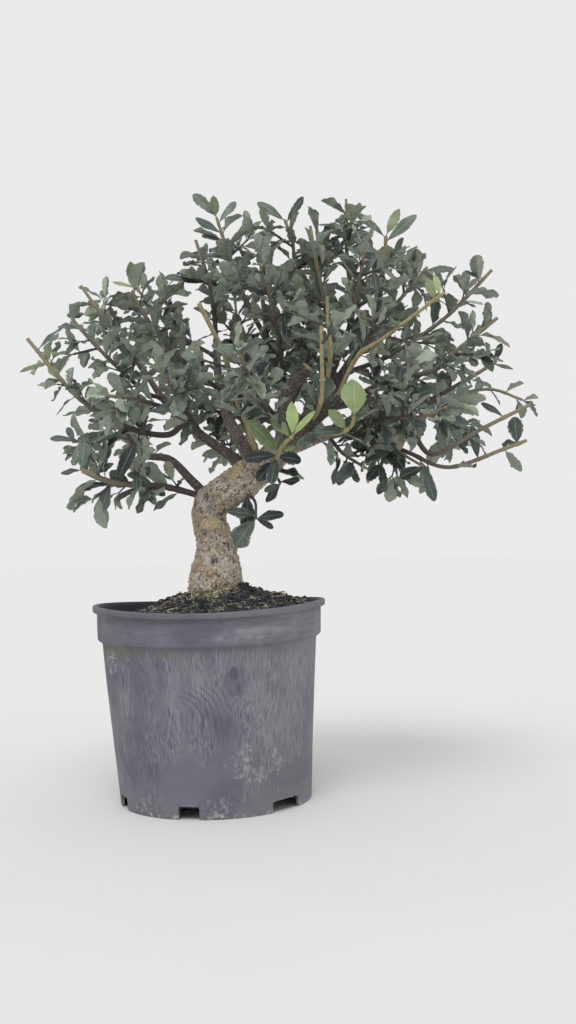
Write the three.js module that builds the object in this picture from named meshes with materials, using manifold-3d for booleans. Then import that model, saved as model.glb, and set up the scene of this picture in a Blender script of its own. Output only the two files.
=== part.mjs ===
// Cork oak bonsai, grown in the round plastic nursery pot that it still stands in.
// Units are millimetres and +Z is up. The origin is the centre of the pot's foot, where it stands.
// The trunk leans towards +X. The side that is usually looked at faces -Y.

import * as THREE from 'three';
import { mergeVertices } from 'three/addons/utils/BufferGeometryUtils.js';
import Module from 'manifold-3d';

const wasm = await Module();
wasm.setup();

// Pot: a thin moulded cup with a deep collar, a rolled lip and six drain notches in its foot.
const POT_HEIGHT = 186;
const LIP_RADIUS = 110;
const LIP_HEIGHT = 6.5;
const LIP_OVERHANG = 4;
const COLLAR_HEIGHT = 33;
const COLLAR_STEP = 4.4;
const BODY_TOP_RADIUS = 101;
const FOOT_RADIUS = 90;
const WALL = 1.8;
const FLOOR_CENTRE_RADIUS = 54;
const FLOOR_RISE = 8;
const POT_SEGMENTS = 32;
const RIM_SADDLE = 4.6;
// The soft cup has sagged to -X: its rim stands this far beside its foot, and the soil follows.
const RIM_LEAN = 3.5;
const NOTCH_HEIGHT = 12;
const NOTCH_REACH = 20;
const NOTCH_ANGLES = [-12, 48, 106, 164, 222, 294];
const NOTCH_WIDTHS = [19, 34, 20, 20, 20, 20];

// Soil: fills the pot, heaped round the trunk.
const SOIL_EDGE_LEVEL = 171.5;
const SOIL_CROWN_LEVEL = 198;
const SOIL_CROWN_RADIUS = 72;
const SOIL_CROWN_X = 6;
const SOIL_TILT = 6;
const SOIL_SEGMENTS = 24;
// The soil's foot is this much wider than the foot of the pot's inner wall, which has a rounded corner.
const SOIL_FOOT_EXTRA = 0.8;
const SOIL_WALL_GAP = 0.9;
const SOIL_RINGS = [0.82, 0.62, 0.42, 0.2, 0];

// Every node keeps this gap to its neighbours.
const GAP = 0.3;

// Leaves of the cork oak: 3 cm long, broadest beyond the middle, blunt, with a toothed and waved edge.
const LEAF_LENGTH = 31;
const LEAF_BREADTH = 12.5;
const LEAF_THICKNESS = 0.95;
const LEAF_STEP = 8;
const ROOT_DEPTH = 0.8;
const LEAF_TURN = THREE.MathUtils.degToRad(144);

// The leafless share of a shoot's length, from its root, and of a side twig's.
const SHOOT_BARE = 0.24;
const TWIG_BARE = 0.35;

// A shoot carries this share of its leaf places, and its side twigs are this thick.
const LEAF_SHARE = 0.105;
const FEWEST_LEAVES = 3;
const MOST_LEAVES = 12;
const SIDE_TWIG_GIRTH = 1.3;

// Leaves of one shoot may cross each other by this volume near their stalks, in cubic millimetres.
const OWN_CROSSING = 2;

// Wood: routes run from the root up, with the radius at each point.
const TRUNK = {
  route: [
    [2, 2, 142], [2, 0, 168], [3, 0, 187], [5, 0, 211], [6, 0, 225], [6, 0, 237], [3, 0, 251],
    [0, 0, 263], [2, 0, 277], [14, -2, 288], [30, -4, 297], [46, -6, 308], [60, -6, 319], [74, -3, 334],
  ],
  girth: [15, 22, 26.5, 25, 21.5, 19, 17, 16.3, 17, 17, 16.8, 16, 14, 11],
};
const LIMBS = {
  left: {
    route: [
      [44, -4, 306], [31, -6, 317], [18, -8, 327], [-3, -16, 342],
      [-19, -20, 357], [-37, -22, 375], [-59, -12, 409],
    ],
    girth: [6, 5.5, 5, 4.5, 4, 3.4, 2.6],
  },
  leftLow: {
    route: [[-2, 6, 286], [-18, 16, 303], [-39, 24, 324], [-66, 30, 330], [-82, 34, 351]],
    girth: [5, 4.4, 3.8, 3.2, 2.6],
  },
  leftBack: {
    route: [[48, -2, 310], [30, 20, 341], [20, 33, 361], [13, 42, 388], [9, 45, 414], [9, 45, 439]],
    girth: [7, 6.4, 5.8, 5, 4.2, 3.4],
  },
  top: {
    route: [[69, 0, 326], [78, 5, 353], [75, 8, 382], [64, 8, 411], [59, 0, 439]],
    girth: [8, 7, 6, 4.8, 3.6],
  },
  rightTop: {
    route: [[74, 0, 331], [99, -5, 361], [124, 0, 389], [144, 5, 418], [161, 5, 437]],
    girth: [8, 6.8, 5.4, 4.2, 3.2],
  },
  right: {
    route: [[72, -2, 328], [106, 0, 341], [139, 0, 348], [170, -2, 356], [204, 0, 372]],
    girth: [9, 7.6, 6.2, 5, 3.4],
  },
  back: {
    route: [[68, 0, 327], [72, 28, 346], [66, 62, 362], [58, 95, 376]],
    girth: [8.5, 7, 5.4, 3.8],
  },
  rightBack: {
    route: [[95, -5, 357], [122, 30, 372], [156, 62, 380], [188, 88, 384]],
    girth: [5.4, 5, 4.2, 3.2],
  },
  front: {
    route: [[72, -3, 330], [92, -32, 345], [112, -52, 358], [128, -66, 366]],
    girth: [7.5, 6, 5, 3.8],
  },
  prunedStub: {
    route: [[76, 0, 338], [74, -20, 366], [82, -28, 385], [98, -36, 402]],
    girth: [7.5, 6.8, 6.5, 6.2],
  },
};

// Leafy shoots: each springs from inside the wood and runs out to its tip. Some were cut back and end bare
// for a few millimetres. Some have leaves further apart (step), smaller (size), or only beyond a share of
// the route (bare). Leaves that show at the front have their own place: the share of the route, the leaf's
// tip and its breadth.
const SHOOTS = [
  {
    name: 'shoot_left_1', girth: [3.2, 2.3],
    route: [[0, -4, 284], [-39, -25, 295], [-83, -45, 299], [-111, -55, 311]],
    leaves: [
      [0.67, [-117, -52, 295], 10], [0.7, [-97, -42, 273], 12], [0.48, [-86, -37, 284], 7],
      [0.48, [-38, -26, 288], 10], [0.65, [-65, -54, 332], 14], [0.88, [-82, -59, 316], 7],
      [0.99, [-131, -51, 309], 7], [1.0, [-107, -58, 341], 14], [0.49, [-53, -27, 314], 7],
    ],
  },
  {
    name: 'shoot_left_2', girth: [3.2, 1.7], cut: 22,
    route: [[-19, -20, 357], [-36, -30, 343], [-77, -30, 353], [-120, -25, 383], [-165, -22, 438]],
    leaves: [
      [0.95, [-130, -33, 450], 8], [0.9, [-144, -30, 432], 9], [0.9, [-175, -19, 409], 6],
      [0.89, [-137, -26, 400], 8], [0.82, [-153, -16, 396], 9],
    ],
  },
  {
    name: 'shoot_left_3', girth: [2.3, 1.3], size: 0.9,
    route: [[-80, 34, 348], [-111, 50, 350], [-141, 62, 347]],
    leaves: [
      [0.85, [-161, 52, 352], 8],
    ],
  },
  {
    name: 'shoot_left_4', girth: [2.3, 1.4], cut: 24,
    route: [[-57, -13, 406], [-86, -20, 446], [-113, -25, 486]],
    leaves: [
      [0.78, [-119, -30, 469], 5], [0.78, [-96, -19, 474], 6],
    ],
  },
  {
    name: 'shoot_left_5', girth: [2.3, 1.4], size: 0.85,
    route: [[-40, -21, 379], [-55, -34, 384], [-88, -52, 416], [-115, -66, 447]],
    leaves: [
      [1.0, [-103, -69, 451], 5], [1.0, [-120, -58, 454], 4],
    ],
  },
  {
    name: 'shoot_left_6', girth: [2.2, 1.2],
    route: [[9, 45, 426], [-28, 52, 450], [-49, 55, 472], [-74, 60, 504]],
    leaves: [
      [1.0, [-76, 50, 526], 12], [0.95, [-65, 52, 518], 6], [0.96, [-54, 63, 512], 4],
      [0.97, [-96, 57, 508], 5],
    ],
  },
  {
    name: 'shoot_left_7', girth: [2.6, 1.3],
    route: [[13, 42, 389], [1, 20, 400], [-28, 5, 423], [-58, -2, 463], [-68, -5, 485]],
    leaves: [
      [0.75, [-86, -12, 475], 7],
    ],
  },
  {
    name: 'shoot_left_8', girth: [2.6, 1.6], cut: 12,
    route: [[9, 45, 436], [7, 42, 472], [3, 40, 501], [-9, 40, 543]],
    leaves: [
      [0.82, [-24, 48, 523], 7], [0.64, [-39, 34, 509], 11],
    ],
  },
  {
    name: 'shoot_left_9', girth: [3, 2.2], cut: 70,
    route: [[50, -6, 311], [41, -24, 346], [29, -32, 378], [21, -50, 413], [0, -65, 458]],
  },
  {
    name: 'shoot_top_1', girth: [2.6, 1.3],
    route: [[59, 1, 436], [40, 5, 474], [27, 8, 513], [14, 5, 556]],
    leaves: [
      [1.0, [-8, 9, 581], 11], [1.0, [12, 2, 576], 10], [0.95, [33, 14, 575], 8],
      [0.88, [-5, -4, 553], 8], [0.83, [0, 0, 537], 6],
    ],
  },
  {
    name: 'shoot_top_2', girth: [2.2, 1.5], cut: 14,
    route: [[64, 7, 414], [58, -18, 452], [57, -28, 490], [57, -30, 514]],
  },
  {
    name: 'shoot_top_3', girth: [2.4, 1.2],
    route: [[65, 8, 408], [83, 25, 470], [88, 32, 530], [80, 34, 560]],
    leaves: [
      [0.97, [54, 38, 580], 11], [0.95, [99, 31, 581], 8],
    ],
  },
  {
    name: 'shoot_top_4', girth: [2.6, 1.5], cut: 16,
    route: [[124, 0, 389], [120, -5, 441], [110, -12, 498], [104, -14, 539]],
  },
  {
    name: 'shoot_top_5', girth: [2.6, 1.5], cut: 18,
    route: [[70, 8, 396], [100, 24, 450], [112, 26, 514], [110, 26, 566]],
    leaves: [
      [0.9, [134, 34, 553], 6],
    ],
  },
  {
    name: 'shoot_top_6', girth: [2.5, 1.3], cut: 8,
    route: [[144, 5, 418], [142, 20, 485], [140, 24, 526], [141, 24, 575]],
    leaves: [
      [0.9, [131, 14, 568], 6], [0.85, [152, 17, 564], 7],
    ],
  },
  {
    name: 'shoot_top_7', girth: [2.6, 1.4],
    route: [[158, 5, 434], [167, 0, 460], [173, -8, 500], [176, -10, 529]],
    leaves: [
      [0.99, [190, -6, 556], 10], [0.93, [205, -13, 548], 11], [0.98, [149, -2, 556], 9],
      [0.76, [145, -19, 526], 9],
    ],
  },
  {
    name: 'shoot_front_1', girth: [2.2, 1.5], cut: 34,
    route: [[108, -49, 356], [117, -78, 405], [115, -88, 433], [115, -95, 454]],
  },
  {
    name: 'shoot_front_2', girth: [2.4, 1.6], cut: 55,
    route: [[98, -38, 349], [107, -92, 364], [108, -115, 402], [108, -120, 424]],
  },
  {
    name: 'shoot_front_3', girth: [2.4, 1.4], cut: 80,
    route: [[119, -58, 361], [140, -72, 403], [165, -84, 419], [217, -100, 454]],
    leaves: [
      [0.96, [202, -101, 467], 9], [0.98, [211, -91, 473], 7],
    ],
  },
  {
    name: 'shoot_front_4', girth: [2.2, 1.4], young: true,
    route: [[61, -8, 317], [66, -50, 317], [72, -78, 326], [81, -90, 333]],
    leaves: [
      [1.0, [82, -86, 365], 11], [1.0, [100, -93, 356], 7], [0.94, [62, -80, 353], 11],
      [0.51, [43, -77, 349], 19], [0.56, [83, -78, 325], 5], [0.38, [89, -51, 316], 15],
      [0.34, [60, -54, 294], 13], [0.42, [36, -52, 319], 13],
    ],
  },
  {
    name: 'shoot_front_5', girth: [2.2, 1.4], young: true,
    route: [[88, -26, 342], [116, -64, 336], [132, -78, 340], [136, -86, 349]],
    leaves: [
      [1.0, [137, -78, 385], 23], [0.6, [114, -86, 356], 12], [0.56, [101, -82, 337], 13],
    ],
  },
  {
    name: 'shoot_front_6', girth: [2.4, 1.3],
    route: [[126, -65, 365], [152, -72, 376], [180, -104, 392]],
  },
  {
    name: 'shoot_front_7', girth: [2.4, 1.3],
    route: [[82, -17, 338], [60, -66, 362], [45, -105, 385], [38, -125, 402]],
  },
  { name: 'shoot_front_8', girth: [2.4, 1.3], route: [[-3, -16, 342], [-18, -60, 368], [-32, -98, 392]] },
  { name: 'shoot_front_9', girth: [2.2, 1.3], route: [[-28, -21, 366], [-56, -64, 372], [-78, -100, 372]] },
  {
    name: 'shoot_front_10', girth: [2.5, 1.3],
    route: [[136, 0, 348], [165, -45, 350], [195, -90, 347], [214, -116, 352]],
  },
  {
    name: 'shoot_front_11', girth: [2.5, 1.3],
    route: [[112, -3, 376], [134, -36, 430], [146, -64, 475], [150, -76, 500]],
  },
  {
    name: 'shoot_front_12', girth: [2.5, 1.3],
    route: [[76, 8, 378], [72, -35, 425], [64, -66, 462], [58, -80, 490]],
  },
  {
    name: 'shoot_right_1', girth: [2.5, 1.6], cut: 14,
    route: [[132, 2, 400], [168, 8, 413], [197, 5, 428], [236, 3, 455], [277, -2, 495]],
    leaves: [
      [0.96, [250, -11, 493], 5], [0.87, [242, -6, 487], 5], [0.82, [262, 6, 462], 5],
    ],
  },
  {
    name: 'shoot_right_2', girth: [2.2, 1.4], cut: 10,
    route: [[154, 5, 430], [185, 48, 470], [207, 60, 496], [224, 68, 516]],
    leaves: [
      [0.95, [251, 60, 511], 10], [0.6, [216, 62, 520], 7],
    ],
  },
  {
    name: 'shoot_right_3', girth: [2.6, 1.6], cut: 14,
    route: [[170, -2, 356], [179, -18, 386], [217, -32, 397], [237, -38, 414], [273, -44, 441]],
    leaves: [
      [0.89, [267, -44, 444], 7], [0.84, [263, -32, 418], 6],
    ],
  },
  {
    name: 'shoot_right_4', girth: [2.6, 1.5], step: 24, size: 0.8, bare: 0.35,
    route: [[202, 0, 371], [220, 2, 375], [264, 10, 399], [282, 14, 410]],
    leaves: [
      [0.96, [285, 4, 425], 7], [0.89, [296, 6, 401], 6],
    ],
  },
  {
    name: 'shoot_right_5', girth: [2.3, 1.2], step: 15, size: 0.75,
    route: [[188, -1, 364], [215, 30, 372], [276, 48, 387], [314, 54, 376]],
  },
  {
    name: 'shoot_right_6', girth: [2.8, 1.8], cut: 40, step: 24, size: 0.8, bare: 0.45,
    route: [[182, -1, 362], [197, -18, 335], [213, -30, 318], [253, -40, 338], [300, -50, 360]],
    leaves: [
      [0.88, [257, -41, 365], 7],
    ],
  },
  {
    name: 'shoot_right_7', girth: [2.6, 1.7], cut: 14, step: 26, size: 0.85, bare: 0.4,
    route: [[158, -1, 353], [178, 10, 332], [196, 12, 322], [233, 14, 308], [288, 24, 325], [311, 28, 333]],
    leaves: [
      [0.9, [299, 23, 356], 15], [0.92, [288, 35, 332], 12], [0.7, [256, 9, 345], 11],
      [0.45, [217, 5, 276], 12],
    ],
  },
  {
    name: 'shoot_low_1', girth: [1.7, 1.1], step: 60,
    route: [[30, -6, 292], [44, -20, 280], [45, -26, 263]],
    leaves: [
      [1.0, [24, -25, 238], 22], [1.0, [71, -29, 267], 12], [1.0, [62, -18, 254], 7],
      [0.9, [19, -35, 271], 12],
    ],
  },
  {
    name: 'shoot_low_2', girth: [1.5, 1], step: 60,
    route: [[56, -6, 314], [66, -14, 301], [69, -18, 295]],
    leaves: [
      [0.8, [87, -25, 298], 10], [1.0, [54, -24, 289], 7], [1.0, [55, -26, 279], 9],
    ],
  },
  { name: 'shoot_low_3', girth: [1.9, 1.2], route: [[115, 0, 342], [128, -22, 322], [150, -40, 305]] },
  {
    name: 'shoot_low_4', girth: [2, 1.2],
    route: [[148, -1, 350], [172, -26, 327], [202, -36, 306]],
    leaves: [
      [1.0, [179, -39, 298], 13],
    ],
  },
  {
    name: 'shoot_low_5', girth: [1.9, 1.3],
    route: [[165, -1, 354], [171, -12, 334], [164, -16, 309]],
    leaves: [
      [0.96, [151, -8, 297], 13], [0.96, [165, -26, 291], 8],
    ],
  },
  { name: 'shoot_back_1', girth: [2.6, 1.3], route: [[59, 92, 375], [50, 125, 400], [45, 150, 440]] },
  {
    name: 'shoot_back_2', girth: [2.6, 1.3],
    route: [[66, 62, 362], [30, 95, 372], [-10, 128, 385], [-35, 145, 400]],
  },
  {
    name: 'shoot_back_3', girth: [2.5, 1.3],
    route: [[63, 74, 367], [85, 102, 395], [98, 130, 430], [105, 145, 468]],
  },
  { name: 'shoot_back_4', girth: [2.4, 1.3], route: [[61, 84, 371], [76, 125, 366], [92, 165, 370]] },
  {
    name: 'shoot_back_5', girth: [2.5, 1.3],
    route: [[70, 40, 351], [42, 70, 400], [30, 90, 450], [26, 98, 495]],
  },
  {
    name: 'shoot_back_6', girth: [2.5, 1.3],
    route: [[70, 45, 354], [96, 62, 410], [106, 84, 465], [110, 94, 512]],
  },
  { name: 'shoot_back_7', girth: [2.5, 1.3], route: [[186, 86, 384], [212, 108, 405], [238, 122, 432]] },
  { name: 'shoot_back_8', girth: [2.4, 1.3], route: [[158, 63, 380], [176, 84, 420], [188, 100, 466]] },
  { name: 'shoot_back_9', girth: [2.4, 1.3], route: [[148, 55, 378], [164, 98, 362], [178, 140, 352]] },
  { name: 'shoot_back_10', girth: [2.4, 1.3], route: [[180, 82, 383], [222, 92, 368], [262, 100, 358]] },
  {
    name: 'shoot_back_11', girth: [2.5, 1.3],
    route: [[12, 42, 396], [-20, 78, 410], [-48, 104, 430], [-68, 118, 456]],
  },
  { name: 'shoot_back_12', girth: [2.4, 1.3], route: [[-50, 27, 327], [-72, 70, 338], [-96, 104, 352]] },
  { name: 'shoot_back_13', girth: [2.3, 1.3], route: [[60, 88, 373], [30, 118, 350], [6, 146, 336]] },
];

const COLOURS = {
  pot: { color: '#6c6f78', roughness: 0.62, metalness: 0 },
  soil: { color: '#2b241f', roughness: 0.95, metalness: 0 },
  bark: { color: '#6b5a47', roughness: 0.9, metalness: 0 },
  leaf: { color: '#46523f', roughness: 0.55, metalness: 0 },
  youngLeaf: { color: '#7f9a52', roughness: 0.5, metalness: 0 },
};

// Repeatable draws: one seed always gives the same run of numbers from 0 to 1.
function draws(seed) {
  let state = seed >>> 0;
  return () => {
    state = (state + 0x6d2b79f5) >>> 0;
    let t = Math.imul(state ^ (state >>> 15), state | 1);
    t ^= t + Math.imul(t ^ (t >>> 7), t | 61);
    return ((t ^ (t >>> 14)) >>> 0) / 4294967296;
  };
}

const vector = ([x, y, z]) => new THREE.Vector3(x, y, z);

// A closed geometry as a solid that can be cut and joined.
function solid(geometry) {
  const bare = geometry.clone();
  bare.deleteAttribute('normal');
  bare.deleteAttribute('uv');
  const merged = mergeVertices(bare, 1e-4);
  return new wasm.Manifold(new wasm.Mesh({
    numProp: 3,
    vertProperties: new Float32Array(merged.attributes.position.array),
    triVerts: new Uint32Array(merged.index.array),
  }));
}

// The largest piece of a solid, as a geometry to show.
function geometryOf(body) {
  const largest = body.decompose().sort((a, b) => b.volume() - a.volume())[0];
  const mesh = largest.getMesh();
  const geometry = new THREE.BufferGeometry();
  geometry.setAttribute('position', new THREE.BufferAttribute(mesh.vertProperties, 3));
  geometry.setIndex(new THREE.BufferAttribute(mesh.triVerts, 1));
  geometry.computeVertexNormals();
  return geometry;
}

function indexed(points, triangles) {
  const geometry = new THREE.BufferGeometry();
  geometry.setAttribute('position', new THREE.Float32BufferAttribute(points.flatMap((p) => p.toArray()), 3));
  geometry.setIndex(triangles);
  return geometry;
}

// Points and forward directions along a smooth curve through a route.
function walk(route, steps) {
  const curve = new THREE.CatmullRomCurve3(route.map(vector), false, 'catmullrom', 0.5);
  return Array.from({ length: steps + 1 }, (_, i) => ({
    t: i / steps,
    point: curve.getPoint(i / steps),
    forward: curve.getTangent(i / steps),
  }));
}

// The value at t from 0 to 1 in a list of evenly spread values.
function along(values, t) {
  const place = Math.min(Math.max(t, 0), 1) * (values.length - 1);
  const i = Math.min(Math.floor(place), values.length - 2);
  return THREE.MathUtils.lerp(values[i], values[i + 1], place - i);
}

// A tapering round stem with flat ends. relief(angle, t) scales the radius for bark ridges.
function stem(route, girth, sides, steps, extra = 0, relief = () => 1) {
  const points = [];
  const triangles = [];
  let side = new THREE.Vector3(0.31, 0.17, 0.05).cross(walk(route, steps)[0].forward).normalize();
  for (const { t, point, forward } of walk(route, steps)) {
    side = side.clone().addScaledVector(forward, -side.dot(forward)).normalize();
    const across = new THREE.Vector3().crossVectors(forward, side);
    for (let k = 0; k < sides; k++) {
      const angle = (2 * Math.PI * k) / sides;
      const radius = along(girth, t) * relief(angle, t) + extra;
      points.push(point.clone()
        .addScaledVector(side, radius * Math.cos(angle))
        .addScaledVector(across, radius * Math.sin(angle)));
    }
  }
  for (let ring = 0; ring < steps; ring++) {
    for (let k = 0; k < sides; k++) {
      const a = ring * sides + k;
      const b = ring * sides + ((k + 1) % sides);
      triangles.push(a, b, b + sides, a, b + sides, a + sides);
    }
  }
  for (let k = 1; k < sides - 1; k++) {
    triangles.push(0, k + 1, k);
    triangles.push(steps * sides, steps * sides + k, steps * sides + k + 1);
  }
  return indexed(points, triangles);
}

// How far the leaning cup has moved to the side at a height.
function lean(height) {
  return -RIM_LEAN * (height / POT_HEIGHT);
}

// Pot: turned profile, with the rim pulled into a saddle and to one side, and notches cut through the foot.
function potGeometry() {
  const bodyTop = POT_HEIGHT - COLLAR_HEIGHT;
  const collar = BODY_TOP_RADIUS + COLLAR_STEP;
  const collarTop = LIP_RADIUS - LIP_OVERHANG;
  const profile = [
    [0, 0],
    [FLOOR_CENTRE_RADIUS, 0],
    [FLOOR_CENTRE_RADIUS + 5, FLOOR_RISE],
    [FOOT_RADIUS - WALL - 1, FLOOR_RISE],
    [FOOT_RADIUS - WALL, 0],
    [FOOT_RADIUS, 0],
    [BODY_TOP_RADIUS, bodyTop - 2],
    [collar, bodyTop + 3],
    [collarTop, POT_HEIGHT - LIP_HEIGHT],
    [LIP_RADIUS, POT_HEIGHT - LIP_HEIGHT + 1],
    [LIP_RADIUS - 0.5, POT_HEIGHT],
    [collarTop - 1, POT_HEIGHT],
    [collarTop - WALL, POT_HEIGHT - 2],
    [collar - WALL, bodyTop + 3.5],
    [BODY_TOP_RADIUS - WALL, bodyTop - 1.5],
    [FOOT_RADIUS - WALL + 0.5, FLOOR_RISE + WALL],
    [0, FLOOR_RISE + WALL],
  ].map(([r, z]) => new THREE.Vector2(r, z));
  const geometry = new THREE.LatheGeometry(profile, POT_SEGMENTS).rotateX(Math.PI / 2);
  const position = geometry.attributes.position;
  for (let i = 0; i < position.count; i++) {
    const angle = Math.atan2(position.getY(i), position.getX(i));
    const height = position.getZ(i);
    position.setX(i, position.getX(i) + lean(height));
    position.setZ(i, height - RIM_SADDLE * (height / POT_HEIGHT) ** 4 * Math.sin(angle) ** 2);
  }
  let pot = solid(geometry);
  NOTCH_ANGLES.forEach((degrees, i) => {
    const notch = new THREE.BoxGeometry(NOTCH_WIDTHS[i], NOTCH_REACH, NOTCH_HEIGHT * 2)
      .translate(0, -(FOOT_RADIUS + 4 - NOTCH_REACH / 2), 0)
      .rotateZ(THREE.MathUtils.degToRad(degrees));
    pot = pot.subtract(solid(notch));
  });
  return pot;
}

// Height of the soil at a place: a heap round the trunk, higher towards +X, with a few lumps.
function soilLevel(x, y) {
  const r = Math.hypot(x - SOIL_CROWN_X, y);
  const heap = Math.exp(-((r / SOIL_CROWN_RADIUS) ** 2));
  const lumps = 1.1 * Math.sin(x * 0.13 + 1) * Math.cos(y * 0.11) + 0.7 * Math.sin(x * 0.31 - y * 0.27);
  return SOIL_EDGE_LEVEL + (SOIL_CROWN_LEVEL - SOIL_EDGE_LEVEL) * heap + SOIL_TILT * (x / 100) + lumps;
}

function soilGeometry() {
  const bottom = FLOOR_RISE + WALL + GAP;
  const wallRadius = (z) => THREE.MathUtils.mapLinear(
    z, FLOOR_RISE + WALL, POT_HEIGHT - COLLAR_HEIGHT - 2,
    FOOT_RADIUS - WALL + SOIL_FOOT_EXTRA, BODY_TOP_RADIUS - WALL) - SOIL_WALL_GAP;
  const shoulder = POT_HEIGHT - COLLAR_HEIGHT - 6;
  const edge = wallRadius(shoulder);
  const profile = [[0, bottom], [wallRadius(bottom), bottom], [edge, shoulder], [edge, SOIL_EDGE_LEVEL]];
  for (const share of SOIL_RINGS) profile.push([edge * share, SOIL_EDGE_LEVEL]);
  const geometry = new THREE.LatheGeometry(profile.map(([r, z]) => new THREE.Vector2(r, z)), SOIL_SEGMENTS)
    .rotateX(Math.PI / 2);
  const position = geometry.attributes.position;
  for (let i = 0; i < position.count; i++) {
    if (position.getZ(i) > SOIL_EDGE_LEVEL - 1) {
      position.setZ(i, soilLevel(position.getX(i), position.getY(i)));
    }
    position.setX(i, position.getX(i) + lean(position.getZ(i)));
  }
  return solid(geometry);
}

// Furrowed cork: broad plates round the trunk that drift as they climb.
function corkRelief(angle, t) {
  return 1 + 0.055 * Math.sin(5 * angle + 9 * t) + 0.035 * Math.sin(3 * angle - 31 * t);
}

function woodSolid(extra) {
  let wood = solid(stem(TRUNK.route, TRUNK.girth, 12, 22, extra, corkRelief));
  for (const { route, girth } of Object.values(LIMBS)) {
    wood = wood.add(solid(stem(route, girth, 6, Math.round(1.5 * (route.length - 1)), extra)));
  }
  return wood;
}

// Leaf outline: place along the blade and half breadth, with a shallow notch between two teeth on each side.
const OUTLINE = [[0.4, 0.46], [0.6, 0.43], [0.86, 0.44]];
const RIB = 0.55;
const WAVES = 9;

// Height of a leaf's surface: folded up from the rib, curled down to the tip, twisted, and waved at the edge.
function leafHeight(leaf, u, v) {
  const lift = leaf.fold + leaf.wave * Math.sin(WAVES * u + leaf.phase + Math.sign(v));
  return leaf.breadth * (Math.abs(v) * lift + v * leaf.twist * u) - leaf.length * leaf.curl * u * u;
}

function leafGeometry(leaf, grow = 0) {
  const half = LEAF_THICKNESS / 2 + grow;
  const spot = (u, v) => {
    const p = leaf.origin.clone();
    p.addScaledVector(leaf.forward, leaf.length * u + grow * (u > 0.5 ? 1 : 0));
    p.addScaledVector(leaf.across, leaf.breadth * v + grow * Math.sign(v));
    return p.addScaledVector(leaf.face, leafHeight(leaf, u, v));
  };
  const sheet = [spot(0, 0)];
  for (const [u, v] of OUTLINE) sheet.push(spot(u, -v));
  sheet.push(spot(1, 0));
  for (const [u, v] of [...OUTLINE].reverse()) sheet.push(spot(u, v));
  const rim = sheet.length;
  sheet.push(spot(RIB, 0));
  const points = [
    ...sheet.map((p) => p.clone().addScaledVector(leaf.face, half)),
    ...sheet.map((p) => p.clone().addScaledVector(leaf.face, -half)),
  ];
  const under = sheet.length;
  const triangles = [0, 1, rim - 1, under, under + rim - 1, under + 1];
  for (let i = 0; i < rim; i++) {
    const j = (i + 1) % rim;
    triangles.push(i, under + i, under + j, i, under + j, j);
  }
  for (let i = 1; i < rim; i++) {
    const j = i + 1 < rim ? i + 1 : 1;
    triangles.push(i, j, rim, under + i, under + rim, under + j);
  }
  return indexed(points, triangles);
}

const SKY = new THREE.Vector3(0, 0, 1);
const SIDEWAYS = new THREE.Vector3(1, 0, 0);
const FRONT = new THREE.Vector3(0, -0.8, 0.5);

// Directions of a leaf that points forward and turns its face as far as it can to the wanted side.
function facing(origin, forward, wanted, shape) {
  const face = wanted.clone().addScaledVector(forward, -wanted.dot(forward)).normalize();
  const across = new THREE.Vector3().crossVectors(face, forward);
  face.applyAxisAngle(forward, shape.roll);
  across.applyAxisAngle(forward, shape.roll);
  return { origin, forward, across, face, ...shape };
}

// How a leaf sits at a place on its twig: turned round the twig by azimuth, leaning away from it by spread.
function leafAt(place, azimuth, spread, shape) {
  const upright = Math.abs(place.forward.z) > 0.95;
  const level = new THREE.Vector3().crossVectors(place.forward, upright ? SIDEWAYS : SKY).normalize();
  const raised = new THREE.Vector3().crossVectors(level, place.forward);
  const out = level.multiplyScalar(Math.cos(azimuth)).addScaledVector(raised, Math.sin(azimuth));
  const forward = place.forward.clone().multiplyScalar(Math.cos(spread));
  forward.addScaledVector(out, Math.sin(spread)).normalize();
  const wanted = place.forward.clone().multiplyScalar(0.5);
  wanted.addScaledVector(SKY, 0.7).addScaledVector(out, -0.15);
  return facing(place.point.clone().addScaledVector(out, shape.seat ?? 0), forward, wanted, shape);
}

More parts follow.
